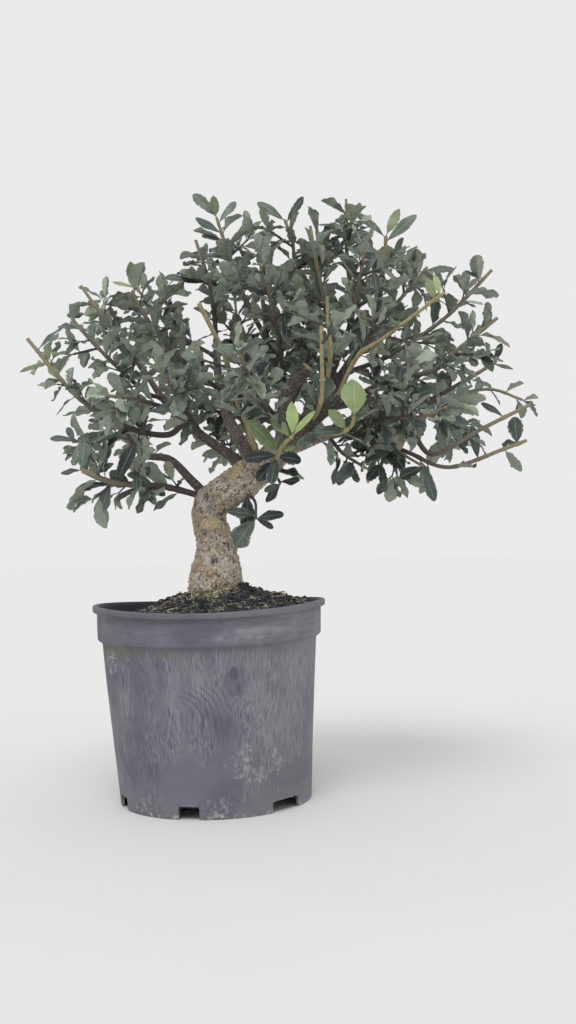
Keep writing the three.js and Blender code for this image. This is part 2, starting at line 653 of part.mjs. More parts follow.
// Leaf places along one twig: its own leaves, then a spiral of single leaves, closed by three at the tip.
function leavesOn(twig, seed) {
  const steps = 40;
  const path = walk(twig.route, steps);
  const reach = [0];
  for (let i = 1; i <= steps; i++) reach.push(reach[i - 1] + path[i].point.distanceTo(path[i - 1].point));
  const total = reach[steps];
  const leaves = [];
  for (const [share, tip, breadth] of twig.leaves ?? []) {
    const rnd = draws(seed * 991 + leaves.length);
    const place = path[Math.round(share * steps)];
    const forward = vector(tip).sub(place.point);
    leaves.push(facing(place.point, forward.clone().normalize(), FRONT, {
      own: true,
      length: forward.length(),
      breadth,
      fold: 0.05 + 0.25 * rnd(),
      curl: 0.02 + 0.12 * rnd(),
      wave: 0.1 + 0.2 * rnd(),
      phase: 6 * rnd(),
      twist: 0.3 * (rnd() - 0.5),
      roll: 0.6 * (rnd() - 0.5),
    }));
  }
  const put = (distance, turn, tip) => {
    const rnd = draws(seed * 997 + leaves.length);
    const i = Math.min(reach.findIndex((d) => d >= distance), steps);
    const azimuth = turn * LEAF_TURN + seed + 0.7 * (rnd() - 0.5);
    const spread = tip ? 0.25 + 0.5 * rnd() : 0.75 + 0.5 * rnd();
    const scale = twig.size * (tip ? 0.64 + 0.34 * rnd() : 0.72 + 0.42 * rnd());
    leaves.push(leafAt(path[i], azimuth, spread, {
      tip,
      seat: tip ? 0 : along(twig.girth, i / steps) * 0.8 - ROOT_DEPTH,
      length: LEAF_LENGTH * scale,
      breadth: LEAF_BREADTH * scale * (0.75 + 0.5 * rnd()),
      fold: 0.08 + 0.5 * rnd() ** 2,
      curl: 0.02 + 0.32 * rnd() ** 2,
      wave: 0.08 + 0.2 * rnd(),
      phase: 6 * rnd(),
      twist: 0.5 * (rnd() - 0.5),
      roll: 1.6 * (rnd() - 0.5),
    }));
  };
  const last = total - 3 - (twig.cut ?? 0);
  for (let d = twig.bare * total; d < last; d += twig.step) put(d, leaves.length, false);
  if (!twig.cut && !twig.leaves) {
    for (let k = 0; k < 3; k++) put(total - 0.8, k * 0.83, true);
  }
  return leaves;
}

// The side twigs of a shoot: short, leaning forward, spread round it.
function sideTwigs(shoot, seed) {
  const path = walk(shoot.route, 40);
  const span = vector(shoot.route[0]).distanceTo(vector(shoot.route.at(-1)));
  const count = span > 110 ? 2 : 1;
  return Array.from({ length: count }, (_, j) => {
    const rnd = draws(seed * 131 + j * 17 + 5);
    const place = path[Math.round(40 * (0.36 + (0.46 * (j + 0.3 + 0.4 * rnd())) / count))];
    const lean = leafAt(place, j * 2.4 + seed * 1.7 + rnd(), 0.85 + 0.25 * rnd(), { roll: 0 }).forward;
    const end = place.point.clone().addScaledVector(lean, 22 + 12 * rnd());
    return {
      route: [place.point.toArray(), end.toArray()],
      girth: [SIDE_TWIG_GIRTH, SIDE_TWIG_GIRTH * 0.7],
      bare: TWIG_BARE,
      step: LEAF_STEP,
      size: shoot.size ?? 1,
    };
  });
}

// Bodies that are already placed, so that nothing new runs into them.
const placed = [];

function register(owner, body) {
  placed.push({ owner, body, box: body.boundingBox() });
}

function meets(a, b) {
  return [0, 1, 2].every((i) => a.min[i] < b.max[i] && b.min[i] < a.max[i]);
}

// True when a grown body stays clear of all that its shoot doesn't own, and nearly clear of what it owns.
function clear(owner, body) {
  const box = body.boundingBox();
  return placed.every((other) => {
    if (!meets(box, other.box)) return true;
    return other.body.intersect(body).volume() <= (other.owner === owner ? OWN_CROSSING : 0);
  });
}

// Leaves with their own place come first, then tips, then the rest in an order that spreads them out.
function inOrder(leaves) {
  const early = (leaf, i) => (leaf.own ? -2 : leaf.tip && i % 3 === 0 ? -1 : (i * 0.618034) % 1);
  const ranked = leaves.map((leaf, i) => ({ leaf, rank: early(leaf, i) }));
  return ranked.sort((a, b) => a.rank - b.rank).map(({ leaf }) => leaf);
}

function materialOf(name) {
  return new THREE.MeshStandardMaterial(COLOURS[name]);
}

const tree = new THREE.Group();

function show(name, body, finish) {
  const mesh = new THREE.Mesh(geometryOf(body), materialOf(finish));
  mesh.name = name;
  tree.add(mesh);
}

const woodRoom = woodSolid(GAP);
const pot = potGeometry();
const soil = soilGeometry().subtract(woodRoom);
register('pot', pot);
register('soil', soil);
register('wood', woodRoom);

const shoots = SHOOTS.map((shoot, i) => {
  const seed = i + 1;
  const main = { bare: SHOOT_BARE, step: LEAF_STEP, size: 1, ...shoot };
  const body = solid(stem(shoot.route, shoot.girth, 4, shoot.route.length)).subtract(woodRoom);
  const own = body.decompose().sort((a, b) => b.volume() - a.volume())[0];
  return { ...shoot, seed, body: own, twigs: [main] };
});
for (const shoot of shoots) register(shoot.name, shoot.body);

for (const shoot of shoots) {
  for (const twig of shoot.young || shoot.step ? [] : sideTwigs(shoot, shoot.seed)) {
    const grown = solid(stem(twig.route, twig.girth, 3, 1, GAP));
    const room = grown.boundingBox();
    const others = placed.filter((other) => other.owner !== shoot.name && meets(room, other.box));
    if (others.some((other) => other.body.intersect(grown).volume() > 0)) continue;
    const body = solid(stem(twig.route, twig.girth, 3, 1));
    shoot.body = shoot.body.add(body);
    shoot.twigs.push(twig);
    register(shoot.name, body);
  }
  const leaves = shoot.twigs.flatMap((twig, i) => leavesOn(twig, shoot.seed * 7 + i));
  const own = shoot.leaves?.length ?? 0;
  shoot.wanted = Math.max(FEWEST_LEAVES, own + Math.round((leaves.length - own) * LEAF_SHARE));
  shoot.waiting = inOrder(leaves);
}

// The shoots take their leaves in turn, so that each part of the crown gets its share.
for (let round = 0; round < MOST_LEAVES; round++) {
  for (const shoot of shoots) {
    while (shoot.wanted > 0 && shoot.waiting.length) {
      const leaf = shoot.waiting.shift();
      if (!clear(shoot.name, solid(leafGeometry(leaf, GAP)))) continue;
      const body = solid(leafGeometry(leaf));
      shoot.body = shoot.body.add(body);
      shoot.wanted -= 1;
      register(shoot.name, body);
      break;
    }
  }
}

show('pot', pot, 'pot');
show('soil', soil, 'soil');
show('trunk_and_limbs', woodSolid(0), 'bark');
for (const shoot of shoots) show(shoot.name, shoot.body, shoot.young ? 'youngLeaf' : 'leaf');

export default tree;
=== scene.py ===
# %% [markdown]
# # Cork oak bonsai in its nursery pot
# The real object is a small cork oak that grows in a plain plastic pot. It has a short trunk of
# furrowed cork, limbs that spread from one bend, and a round crown of twigs with small leathery
# leaves. We dress a plain solid model: each of its nodes is hidden and a finer mesh takes its place,
# in the same spot and the same form.

# %% Load the solid model
import math
import bpy
import numpy as np
from mathutils import Matrix, Vector, noise


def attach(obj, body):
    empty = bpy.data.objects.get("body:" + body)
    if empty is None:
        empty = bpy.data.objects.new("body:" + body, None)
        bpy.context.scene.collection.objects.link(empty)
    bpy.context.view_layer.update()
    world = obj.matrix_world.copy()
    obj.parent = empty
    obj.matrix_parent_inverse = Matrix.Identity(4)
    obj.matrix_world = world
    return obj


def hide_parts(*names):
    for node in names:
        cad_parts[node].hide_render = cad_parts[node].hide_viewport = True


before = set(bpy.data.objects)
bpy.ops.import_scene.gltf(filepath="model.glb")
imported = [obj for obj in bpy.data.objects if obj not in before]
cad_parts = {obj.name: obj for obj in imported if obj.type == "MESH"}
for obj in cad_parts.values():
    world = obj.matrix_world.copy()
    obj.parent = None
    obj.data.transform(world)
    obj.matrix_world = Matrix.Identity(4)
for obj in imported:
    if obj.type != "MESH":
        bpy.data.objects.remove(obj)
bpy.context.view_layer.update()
print("solid nodes:", len(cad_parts))

# %% [markdown]
# ## Chance that repeats
# A natural thing looks natural when nothing repeats, yet a script has to give the same plant each
# time it runs. So every draw comes from a small generator with a seed. The solid model grows its
# leaves by the same rule, and with the same seeds our fine leaves stand where its plain ones stand.

# %% Repeatable draws
MM = 0.001
WORD = 0xFFFFFFFF


def draws(seed):
    """Gives a function that draws numbers from 0 to 1, always the same run for one seed."""
    state = seed & WORD

    def draw():
        nonlocal state
        state = (state + 0x6D2B79F5) & WORD
        mixed = ((state ^ (state >> 15)) * (state | 1)) & WORD
        mixed ^= (mixed + (((mixed ^ (mixed >> 7)) * (mixed | 61)) & WORD)) & WORD
        return (mixed ^ (mixed >> 14)) / (WORD + 1)

    return draw


first_draw = draws(1)
print("three draws:", [round(first_draw(), 3) for _ in range(3)])

# %% [markdown]
# ## Smooth routes
# Stems are drawn as a few points each. A smooth curve through the points gives the centre line, and
# the girth is read off between values that are spread evenly along it.

# %% Curves through points


def unit(vectors):
    """The same vectors with length 1."""
    return vectors / np.linalg.norm(vectors, axis=-1, keepdims=True)


def spline(route, t):
    """Points of a smooth curve through a route, for an array of places t from 0 to 1."""
    knots = np.array(route, float)
    knots = np.vstack([2 * knots[0] - knots[1], knots, 2 * knots[-1] - knots[-2]])
    place = np.clip(t, 0, 1) * (len(knots) - 3)
    first = np.minimum(place.astype(int), len(knots) - 4)
    w = (place - first)[:, None]
    before, a, b, after = (knots[first + k] for k in range(4))
    leave = 0.5 * (b - before)
    arrive = 0.5 * (after - a)
    return a + leave * w + (3 * (b - a) - 2 * leave - arrive) * w**2 + (2 * (a - b) + leave + arrive) * w**3


def walk(route, steps):
    """Points and forward directions at even steps of a smooth route."""
    t = np.arange(steps + 1) / steps
    nudge = 0.0001
    return spline(route, t), unit(spline(route, t + nudge) - spline(route, t - nudge))


def along(values, t):
    """The value at t from 0 to 1 in a list of evenly spread values."""
    return np.interp(t, np.linspace(0, 1, len(values)), values)


def reach_of(points):
    """Distance walked at each point of a line."""
    return np.concatenate([[0], np.cumsum(np.linalg.norm(np.diff(points, axis=0), axis=1))])


bow = [(0, 0, 0), (10, 0, 5), (10, 0, 20)]
print("length of a small bow in mm:", round(reach_of(walk(bow, 40)[0])[-1], 1))

# %% [markdown]
# ## One way to make a mesh
# Long lists of numbers go faster through arrays than through bmesh calls, so each piece is gathered
# as arrays and written once. Materials read the extra numbers of a piece, such as how far a point
# lies along its leaf, from attributes. Faces that meet at a steep angle get a sharp edge, so smooth
# shading doesn't smear them.

# %% Mesh helper


class Build:
    """Gathers points and faces of one piece, in millimetres, and makes the object."""

    def __init__(self):
        self.points = []
        self.faces = []
        self.values = []
        self.count = 0

    def add(self, points, faces, slot=0, mark=0.0, **values):
        """Adds points and an array of faces. values holds named rows of numbers, one for each point."""
        if len(points):
            self.points.append(np.asarray(points, float))
            for name, rows in values.items():
                self.values.append((name, self.count, np.asarray(rows, float)))
        self.count += len(points)
        self.faces.append((np.asarray(faces) + self.count - len(points), slot, mark))

    def more_faces(self, faces, points, slot=0, mark=0.0):
        """Adds faces on the points that were added last."""
        self.faces.append((np.asarray(faces) + self.count - points, slot, mark))

    def piece(self, name, materials):
        """Writes the mesh, with its attributes, and links the object."""
        mesh = bpy.data.meshes.new(name)
        corners = np.concatenate([faces.ravel() for faces, _, _ in self.faces])
        sizes = np.concatenate([np.full(len(faces), faces.shape[1]) for faces, _, _ in self.faces])
        slots = np.concatenate([np.full(len(faces), slot) for faces, slot, _ in self.faces])
        marks = np.concatenate([np.full(len(faces), mark) for faces, _, mark in self.faces])
        mesh.vertices.add(self.count)
        mesh.vertices.foreach_set("co", (np.concatenate(self.points) * MM).ravel())
        mesh.loops.add(len(corners))
        mesh.loops.foreach_set("vertex_index", corners.astype(np.int32))
        mesh.polygons.add(len(sizes))
        mesh.polygons.foreach_set("loop_start", (np.cumsum(sizes) - sizes).astype(np.int32))
        mesh.polygons.foreach_set("material_index", slots.astype(np.int32))
        mesh.update(calc_edges=True)
        mesh.attributes.new("mark", "FLOAT", "FACE").data.foreach_set("value", marks)
        for label in sorted({name for name, _, _ in self.values}):
            filled = np.zeros((self.count, 3))
            for name, start, rows in self.values:
                if name == label:
                    filled[start:start + len(rows), :rows.shape[1]] = rows
            mesh.attributes.new(label, "FLOAT_VECTOR", "POINT").data.foreach_set("vector", filled.ravel())
        return dress(bpy.data.objects.new(name, mesh), materials)


def tube_faces(rings, around):
    """Quads between rings of points, and the triangles that close the first and the last ring.

    The two centre points come after the points of the rings."""
    k = np.arange(around)
    after = (k + 1) % around
    rows = (np.arange(rings - 1) * around)[:, None]
    quads = np.stack([rows + k, rows + after, rows + around + after, rows + around + k], 2).reshape(-1, 4)
    top = (rings - 1) * around
    centre = np.full(around, rings * around)
    return quads, np.stack([centre, after, k], 1), np.stack([centre + 1, top + k, top + after], 1)


print("faces of a tube with 3 rings of 6 points:", sum(len(part) for part in tube_faces(3, 6)))

# %% [markdown]
# A piece then gets its materials and smooth shading. It also rides on the plant's body and hides the
# plain nodes that it stands for.

# %% Finish a piece
SHARP_ANGLE = math.radians(52)


def dress(piece, materials):
    """Links a piece, and gives it its materials and smooth shading."""
    for material in materials:
        piece.data.materials.append(material)
    piece.data.polygons.foreach_set("use_smooth", [True] * len(piece.data.polygons))
    piece.data.set_sharp_from_angle(angle=SHARP_ANGLE)
    bpy.context.scene.collection.objects.link(piece)
    return piece


def settle(piece, slot, *nodes):
    """A finished piece rides on the plant's body and hides the solids it stands for. slot is not used."""
    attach(piece, "root")
    if nodes:
        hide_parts(*nodes)
    piece.data.calc_loop_triangles()
    return len(piece.data.loop_triangles)


def points_of(mesh, source="vertices", field="co"):
    """All places or normals of a mesh as rows of three numbers."""
    data = getattr(mesh, source)
    rows = np.empty(len(data) * 3, np.float32)
    data.foreach_get(field, rows)
    return rows.reshape(-1, 3).astype(float)


def baked_mesh(piece):
    """The mesh of a piece with its modifiers worked in. The piece itself is removed."""
    graph = bpy.context.evaluated_depsgraph_get()
    mesh = bpy.data.meshes.new_from_object(piece.evaluated_get(graph))
    bpy.data.objects.remove(piece)
    return mesh


print("edges stay crisp from", round(math.degrees(SHARP_ANGLE)), "degrees")

# %% [markdown]
# ## Shader maths as Python
# A material is a graph of nodes, and long graphs are hard to read. The class below wraps one output
# socket, and its operators add the maths nodes, so `1 - mask` reads like any formula. Colours go
# through Mix nodes and vectors through Vector Math, because a plain Math node would turn a colour
# grey.

# %% A socket with operators


def kind(value):
    """Whether a value is a number, a vector or a colour."""
    if isinstance(value, Wire):
        return value.socket.type
    if isinstance(value, tuple):
        return "RGBA" if len(value) == 4 else "VECTOR"
    return "VALUE"


class Wire:
    """An output socket of a node, or the empty start of a material's tree."""

    def __init__(self, tree, socket=None):
        self.tree = tree
        self.socket = socket

    def add(self, type_name, settings=None, inputs=None, output=0, stops=()):
        """Adds any node: settings first, then a ramp's stops, then values or links for its sockets."""
        node = self.tree.nodes.new(type_name)
        for name, value in (settings or {}).items():
            setattr(node, name, value)
        for i, (position, colour) in enumerate(stops):
            if i >= len(node.color_ramp.elements):
                node.color_ramp.elements.new(position)
            node.color_ramp.elements[i].position = position
            node.color_ramp.elements[i].color = colour
        for name, value in (inputs or {}).items():
            if isinstance(value, Wire):
                self.tree.links.new(value.socket, node.inputs[name])
            else:
                node.inputs[name].default_value = value
        return Wire(self.tree, node.outputs[output] if node.outputs else None)

    def combine(self, operation, left, right):
        """Adds the node for left and right, by what they are: colours, vectors or numbers."""
        kinds = (kind(left), kind(right))
        if "RGBA" in kinds:
            shades = [v if isinstance(v, (Wire, tuple)) else (v, v, v, 1) for v in (left, right)]
            settings = {"data_type": "RGBA", "blend_type": operation}
            return self.add("ShaderNodeMix", settings, {0: 1.0, 6: shades[0], 7: shades[1]}, 2)
        if "VECTOR" in kinds:
            rows = [v if isinstance(v, (Wire, tuple)) else (v, v, v) for v in (left, right)]
            return self.add("ShaderNodeVectorMath", {"operation": operation}, {0: rows[0], 1: rows[1]})
        return self.add("ShaderNodeMath", {"operation": operation}, {0: left, 1: right})

    def __add__(self, other):
        return self.combine("ADD", self, other)

    def __radd__(self, other):
        return self.combine("ADD", other, self)

    def __sub__(self, other):
        return self.combine("SUBTRACT", self, other)

    def __rsub__(self, other):
        return self.combine("SUBTRACT", other, self)

    def __mul__(self, other):
        return self.combine("MULTIPLY", self, other)

    def __rmul__(self, other):
        return self.combine("MULTIPLY", other, self)

    def __abs__(self):
        return self.math("ABSOLUTE")

    def math(self, operation, other=0.0):
        """Any other sum with numbers."""
        return self.add("ShaderNodeMath", {"operation": operation}, {0: self, 1: other})

    def part(self, axis):
        """One part, X, Y or Z, of a vector."""
        return self.add("ShaderNodeSeparateXYZ", None, {0: self}, axis)

    def step(self, low, high):
        """0 below low, 1 above high, and a smooth rise between."""
        smooth = {"interpolation_type": "SMOOTHSTEP"}
        return self.add("ShaderNodeMapRange", smooth, {0: self, 1: low, 2: high})

    def mix(self, low, high):
        """Blends two colours or two numbers, with this wire as the share of the second."""
        if "RGBA" in (kind(low), kind(high)):
            return self.add("ShaderNodeMix", {"data_type": "RGBA"}, {0: self, 6: low, 7: high}, 2)
        return self.add("ShaderNodeMix", {"data_type": "FLOAT"}, {0: self, 2: low, 3: high}, 0)

    def noise(self, scale, detail=3.0, roughness=0.55, distortion=0.0):
        """Cloudy noise from 0 to 1, with this vector as its place."""
        inputs = {"Vector": self, "Scale": scale, "Detail": detail, "Roughness": roughness}
        return self.add("ShaderNodeTexNoise", None, inputs | {"Distortion": distortion})

    def cells(self, scale, feature="F1"):
        """Distances in a pattern of cells, with this vector as its place."""
        return self.add("ShaderNodeTexVoronoi", {"feature": feature}, {"Vector": self, "Scale": scale})

    def attribute(self, name, output="Vector"):
        """A vector, or with output Fac a number, that the mesh holds under this name."""
        return self.add("ShaderNodeAttribute", {"attribute_name": name}, None, output)

    def place(self):
        """The place of the point in the plant's own frame, in metres."""
        return self.add("ShaderNodeTexCoord", None, None, "Object")


print("kinds:", kind(0.5), kind((0, 0, 1)), kind((0, 0, 0, 1)))

# %% [markdown]
# Screen colours have to be turned into the linear numbers that shaders count in. Every material here
# is one Principled shader with a bump, so one function closes them all.

# %% Colours and materials


def rgb(red, green, blue):
    """A colour as on screen, from 0 to 255, turned into the linear numbers that shaders use."""
    return tuple(((c / 255 + 0.055) / 1.055) ** 2.4 for c in (red, green, blue)) + (1.0,)


def new_material(name):
    """An empty material and the start of its tree."""
    material = bpy.data.materials.new(name)
    material.use_nodes = True
    material.node_tree.nodes.clear()
    return material, Wire(material.node_tree)


def finish(start, colour, roughness, height, depth):
    """Closes a tree with one Principled shader, whose bump is depth millimetres high."""
    bump = start.add("ShaderNodeBump", None, {"Distance": depth * MM, "Height": height})
    inputs = {"Base Color": colour, "Roughness": roughness, "Normal": bump}
    shader = start.add("ShaderNodeBsdfPrincipled", None, inputs)
    start.add("ShaderNodeOutputMaterial", None, {"Surface": shader})
    print("nodes in the tree:", len(start.tree.nodes))


# %% [markdown]
# ## Camera
# The camera stands where the picture was taken: a little above the rim of the pot, 1.1 m away, tilted
# up by just over a degree and rolled a little. A long lens keeps the crown's proportions.

# %% Camera
CAMERA_PLACE = (0.0752, -1.0951, 0.2428)
LEVEL = 90
LOOK_UP = 1.36
ROLL = -1.63
LENS = 40.32
SENSOR = 36

camera = bpy.data.objects.new("camera", bpy.data.cameras.new("camera"))
camera.data.lens = LENS
camera.data.sensor_width = SENSOR
tilt = Matrix.Rotation(math.radians(LEVEL + LOOK_UP), 4, "X")
roll = Matrix.Rotation(math.radians(ROLL), 4, "Z")
camera.matrix_world = Matrix.Translation(CAMERA_PLACE) @ tilt @ roll
bpy.context.scene.collection.objects.link(camera)
bpy.context.scene.camera = camera
print("camera at", CAMERA_PLACE)

# %% [markdown]
# ## Light and floor
# The plant stands in a bright, plain room. A pale sky all round gives the even light and the light
# background. One broad sun from above, a little in front, gives form and a soft shadow. The floor is
# a plain pale disc whose shade meets the sky's, so no line runs behind the trunk.

# %% Sky and sun
SKY = rgb(236, 235, 235)
SKY_STRENGTH = 1.0
SUN_STRENGTH = 1.35
SUN_WIDTH = 30
SUN_FROM = (-0.1, -0.75, 1.3)

scene = bpy.context.scene
scene.view_settings.view_transform = "Standard"
scene.world = bpy.data.worlds.new("room")
scene.world.use_nodes = True
scene.world.node_tree.nodes["Background"].inputs["Color"].default_value = SKY
scene.world.node_tree.nodes["Background"].inputs["Strength"].default_value = SKY_STRENGTH

sun = bpy.data.objects.new("sun", bpy.data.lights.new("sun", "SUN"))
sun.data.energy = SUN_STRENGTH
sun.data.angle = math.radians(SUN_WIDTH)
sun.rotation_mode = "QUATERNION"
sun.rotation_quaternion = Vector(SUN_FROM).to_track_quat("Z", "Y")
scene.collection.objects.link(sun)

print("sun from", SUN_FROM)

# %% Floor
FLOOR_COLOUR = (0.68, 0.68, 0.678, 1)
FLOOR_GRAIN = (0.6596, 0.6596, 0.65766, 1)
FLOOR_ROUGHNESS = 0.85
FLOOR_RADIUS = 12
FLOOR_SIDES = 96

floor_material, start = new_material("pale_floor")
grain = start.place().noise(9, 4)
finish(start, grain.mix(FLOOR_COLOUR, FLOOR_GRAIN), FLOOR_ROUGHNESS, height=grain, depth=0.05)
turn = np.linspace(0, 2 * np.pi, FLOOR_SIDES, endpoint=False)
disc = Build()
disc.add(np.stack([np.cos(turn), np.sin(turn), 0 * turn], 1) * FLOOR_RADIUS / MM, [list(range(FLOOR_SIDES))])
floor = disc.piece("floor", [floor_material])

# %% [markdown]
# ## Pot: shape
# The real pot is injection moulded: a thin tapered cup with a deep collar to grip, a rolled lip, a
# raised floor and six drain notches cut through the corner of its foot. A lathe gives all of it in
# one go, from an outline of radius and height. Moulded corners are never sharp, so the outline's
# corners are rounded first.

# %% Outline of the pot
POT_HEIGHT = 186
LIP_RADIUS = 110
LIP_HEIGHT = 6.5
LIP_OVERHANG = 4
COLLAR_HEIGHT = 33
COLLAR_STEP = 4.4
BODY_TOP_RADIUS = 101
FOOT_RADIUS = 90
WALL = 1.8
FLOOR_CENTRE_RADIUS = 54
FLOOR_RISE = 8
CORNER_RADIUS = 1.6
LONGEST_STEP = 12


def rounded(corners, radius, steps=4):
    """An outline whose inner corners are rounded, as a list of (radius, height)."""
    outline = [corners[0]]
    for before, corner, after in zip(corners, corners[1:], corners[2:]):
        before, corner, after = (np.array(p, float) for p in (before, corner, after))
        back, on = before - corner, after - corner
        cut = min(radius, 0.45 * np.linalg.norm(back), 0.45 * np.linalg.norm(on))
        enter, leave = corner + unit(back) * cut, corner + unit(on) * cut
        for k in range(steps + 1):
            t = k / steps
            outline.append(tuple((1 - t) ** 2 * enter + 2 * t * (1 - t) * corner + t**2 * leave))
    return outline + [corners[-1]]


def divided(outline, longest):
    """The same outline with points added where it runs straight for long."""
    made = [outline[0]]
    for a, b in zip(outline, outline[1:]):
        parts = max(1, math.ceil(math.dist(a, b) / longest))
        made += [tuple(np.array(a) + (np.array(b) - a) * k / parts) for k in range(1, parts + 1)]
    return made


body_top = POT_HEIGHT - COLLAR_HEIGHT
collar = BODY_TOP_RADIUS + COLLAR_STEP
collar_top = LIP_RADIUS - LIP_OVERHANG
pot_outline = divided(rounded([
    (0, 0),
    (FLOOR_CENTRE_RADIUS, 0),
    (FLOOR_CENTRE_RADIUS + 5, FLOOR_RISE),
    (FOOT_RADIUS - WALL - 1, FLOOR_RISE),
    (FOOT_RADIUS - WALL, 0),
    (FOOT_RADIUS, 0),
    (BODY_TOP_RADIUS, body_top - 2),
    (collar, body_top + 1),
    (collar_top, POT_HEIGHT - LIP_HEIGHT - 0.6),
    (LIP_RADIUS, POT_HEIGHT - LIP_HEIGHT + 0.6),
    (LIP_RADIUS, POT_HEIGHT - 0.2),
    (collar_top - 1, POT_HEIGHT),
    (collar_top - WALL, POT_HEIGHT - 3),
    (collar - WALL, body_top + 2),
    (BODY_TOP_RADIUS - WALL, body_top - 2),
    (FOOT_RADIUS - WALL + 0.5, FLOOR_RISE + WALL),
    (0, FLOOR_RISE + WALL),
], CORNER_RADIUS), LONGEST_STEP)
print("pot outline points:", len(pot_outline))

# %% [markdown]
# A used pot is no perfect round. Its cup has sagged to one side, its rim drops a few millimetres at
# the front and at the back, and the wall has faint dents. The lathe moves its points by a function,
# which can do all three.

# %% Pot mesh
POT_SEGMENTS = 240
RIM_SADDLE = 4.6
RIM_LEAN = 3.5
BROAD_DENT = 0.003
FINE_DENT = 0.0025


def lathe(build, outline, segments, shift):
    """Turns an outline that starts and ends on the axis. shift(points) moves the points afterwards."""
    outline = np.array(outline)
    turns = 2 * np.pi * np.arange(segments) / segments
    inner = outline[1:-1]
    rings = np.stack([
        np.outer(inner[:, 0], np.cos(turns)),
        np.outer(inner[:, 0], np.sin(turns)),
        np.outer(inner[:, 1], np.ones(segments)),
    ], 2).reshape(-1, 3)
    ends = np.array([[0, 0, outline[0, 1]], [0, 0, outline[-1, 1]]])
    points = shift(np.vstack([rings, ends]))
    quads, first, last = tube_faces(len(inner), segments)
    build.add(points, quads)
    build.more_faces(first, len(points))
    build.more_faces(last, len(points))


def lean(height):
    """How far the cup has sagged to the side at a height."""
    rise = height / POT_HEIGHT
    return -RIM_LEAN * rise * (1 - 0.45 * rise**4)


def sagged(points):
    """The saddle of the rim, the lean of the cup and the shallow dents of its wall."""
    x, y, z = points.T
    angle = np.arctan2(y, x)
    rise = z / POT_HEIGHT
    dent = BROAD_DENT * np.sin(3 * angle + 2.3 * rise + 2.4) * rise + FINE_DENT * np.sin(7 * angle - 5 * rise)
    wall = np.clip(np.hypot(x, y) - FLOOR_CENTRE_RADIUS - 6, 0, 1) * np.clip(4 * rise, 0, 1)
    grow = 1 + dent * wall
    return np.stack([x * grow + lean(z), y * grow, z - RIM_SADDLE * rise**4 * np.sin(angle) ** 2], 1)


shell = Build()
lathe(shell, pot_outline, POT_SEGMENTS, sagged)
print("pot points:", shell.count)

# %% [markdown]
# The notches are cut with a Boolean, because their edges are crisp. Each cutter is a box with a
# ragged top edge. One notch is wider and torn, so its edge wanders more.

# %% Drain notches
NOTCH_HEIGHT = 12
NOTCH_ANGLES = [-12, 48, 106, 164, 222, 294]
NOTCH_WIDTHS = [19, 34, 20, 20, 20, 20]
NOTCH_REACH = 20
NOTCH_STEPS = 12
NOTCH_SEED = 900
TORN_WIDTH = 30
TORN_EDGE = 2.2
CLEAN_EDGE = 0.5
BELOW = -5


def notch_cutter(number, width, degrees):
    """A box round the corner of the foot, whose top edge wanders a little."""
    draw = draws(NOTCH_SEED + number)
    torn = TORN_EDGE if width > TORN_WIDTH else CLEAN_EDGE
    across = np.linspace(-width / 2, width / 2, NOTCH_STEPS)
    top = np.array([NOTCH_HEIGHT - torn * draw() for _ in range(NOTCH_STEPS)])
    top[[0, -1]] -= torn
    near = -(FOOT_RADIUS + 4)
    far = near + NOTCH_REACH
    rows = [(near, BELOW + 0 * top), (near, top), (far, top), (far, BELOW + 0 * top)]
    points = np.concatenate([np.stack([across, np.full(NOTCH_STEPS, y), z], 1) for y, z in rows])
    n = NOTCH_STEPS
    sides = [(r * n, (r + 1) % 4 * n) for r in range(4)]
    quads = [[a + i, a + i + 1, b + i + 1, b + i] for a, b in sides for i in range(n - 1)]
    cutter = Build()
    cutter.add(points, quads)
    cutter.more_faces([[0, n, 2 * n, 3 * n], [4 * n - 1, 3 * n - 1, 2 * n - 1, n - 1]], len(points))
    piece = cutter.piece(f"cutter_{number}", [])
    piece.data.transform(Matrix.Rotation(math.radians(degrees), 4, "Z"))
    return piece


pot = shell.piece("pot_raw", [])
cutters = [notch_cutter(i, w, a) for i, (w, a) in enumerate(zip(NOTCH_WIDTHS, NOTCH_ANGLES))]
for cutter in cutters:
    cut = pot.modifiers.new("notch", "BOOLEAN")
    cut.operation = "DIFFERENCE"
    cut.object = cutter
    cut.solver = "EXACT"
pot_mesh = baked_mesh(pot)
for cutter in cutters:
    bpy.data.objects.remove(cutter)
print("pot faces:", len(pot_mesh.polygons))

# %% [markdown]
# ## Pot: finish
# The plastic was once black. Sun and rain have turned it a dusty blue grey. A stiff brush has left
# fine strokes, upright in most places and curved in the middle. There is white lime low at the right
# and round the foot, a green and brown tide under the collar, and one smooth patch that the brush has
# missed. Each mark has a place of its own: an oval with an edge that noise has frayed.

# %% Frayed ovals
POT_GREY = rgb(109, 110, 118)
POT_DARK = rgb(78, 79, 91)
POT_VIOLET = rgb(100, 100, 110)
POT_CHALK = rgb(146, 147, 152)
POT_TIDE = rgb(104, 103, 88)
POT_LIME = rgb(178, 177, 174)
# The next colour is painted shade for the inside of the pot.
POT_INSIDE_SHADE = rgb(62, 65, 78)
POT_SPOT = rgb(72, 74, 84)
POT_LIP = rgb(96, 97, 96)
FRONT_EDGE = -0.03
OVAL_EDGE = (0.75, 1.1)

pot_material, start = new_material("weathered_pot")
place = start.place()
height = place.part("Z")
fray = place.noise(45, 5, 0.6) - 0.5
front = 1 - place.part("Y").step(FRONT_EDGE, 0.0)


def patch(centre, half, frayed=1.6):
    """1 inside an oval on the front of the pot, 0 outside, from its x, z and half sizes in millimetres."""
    away = (place - (centre[0] * MM, 0, centre[1] * MM)) * (1 / (half[0] * MM), 0, 1 / (half[1] * MM))
    length = place.add("ShaderNodeVectorMath", {"operation": "LENGTH"}, {0: away}, 1)
    return (1 - (length + frayed * fray).step(*OVAL_EDGE)) * front


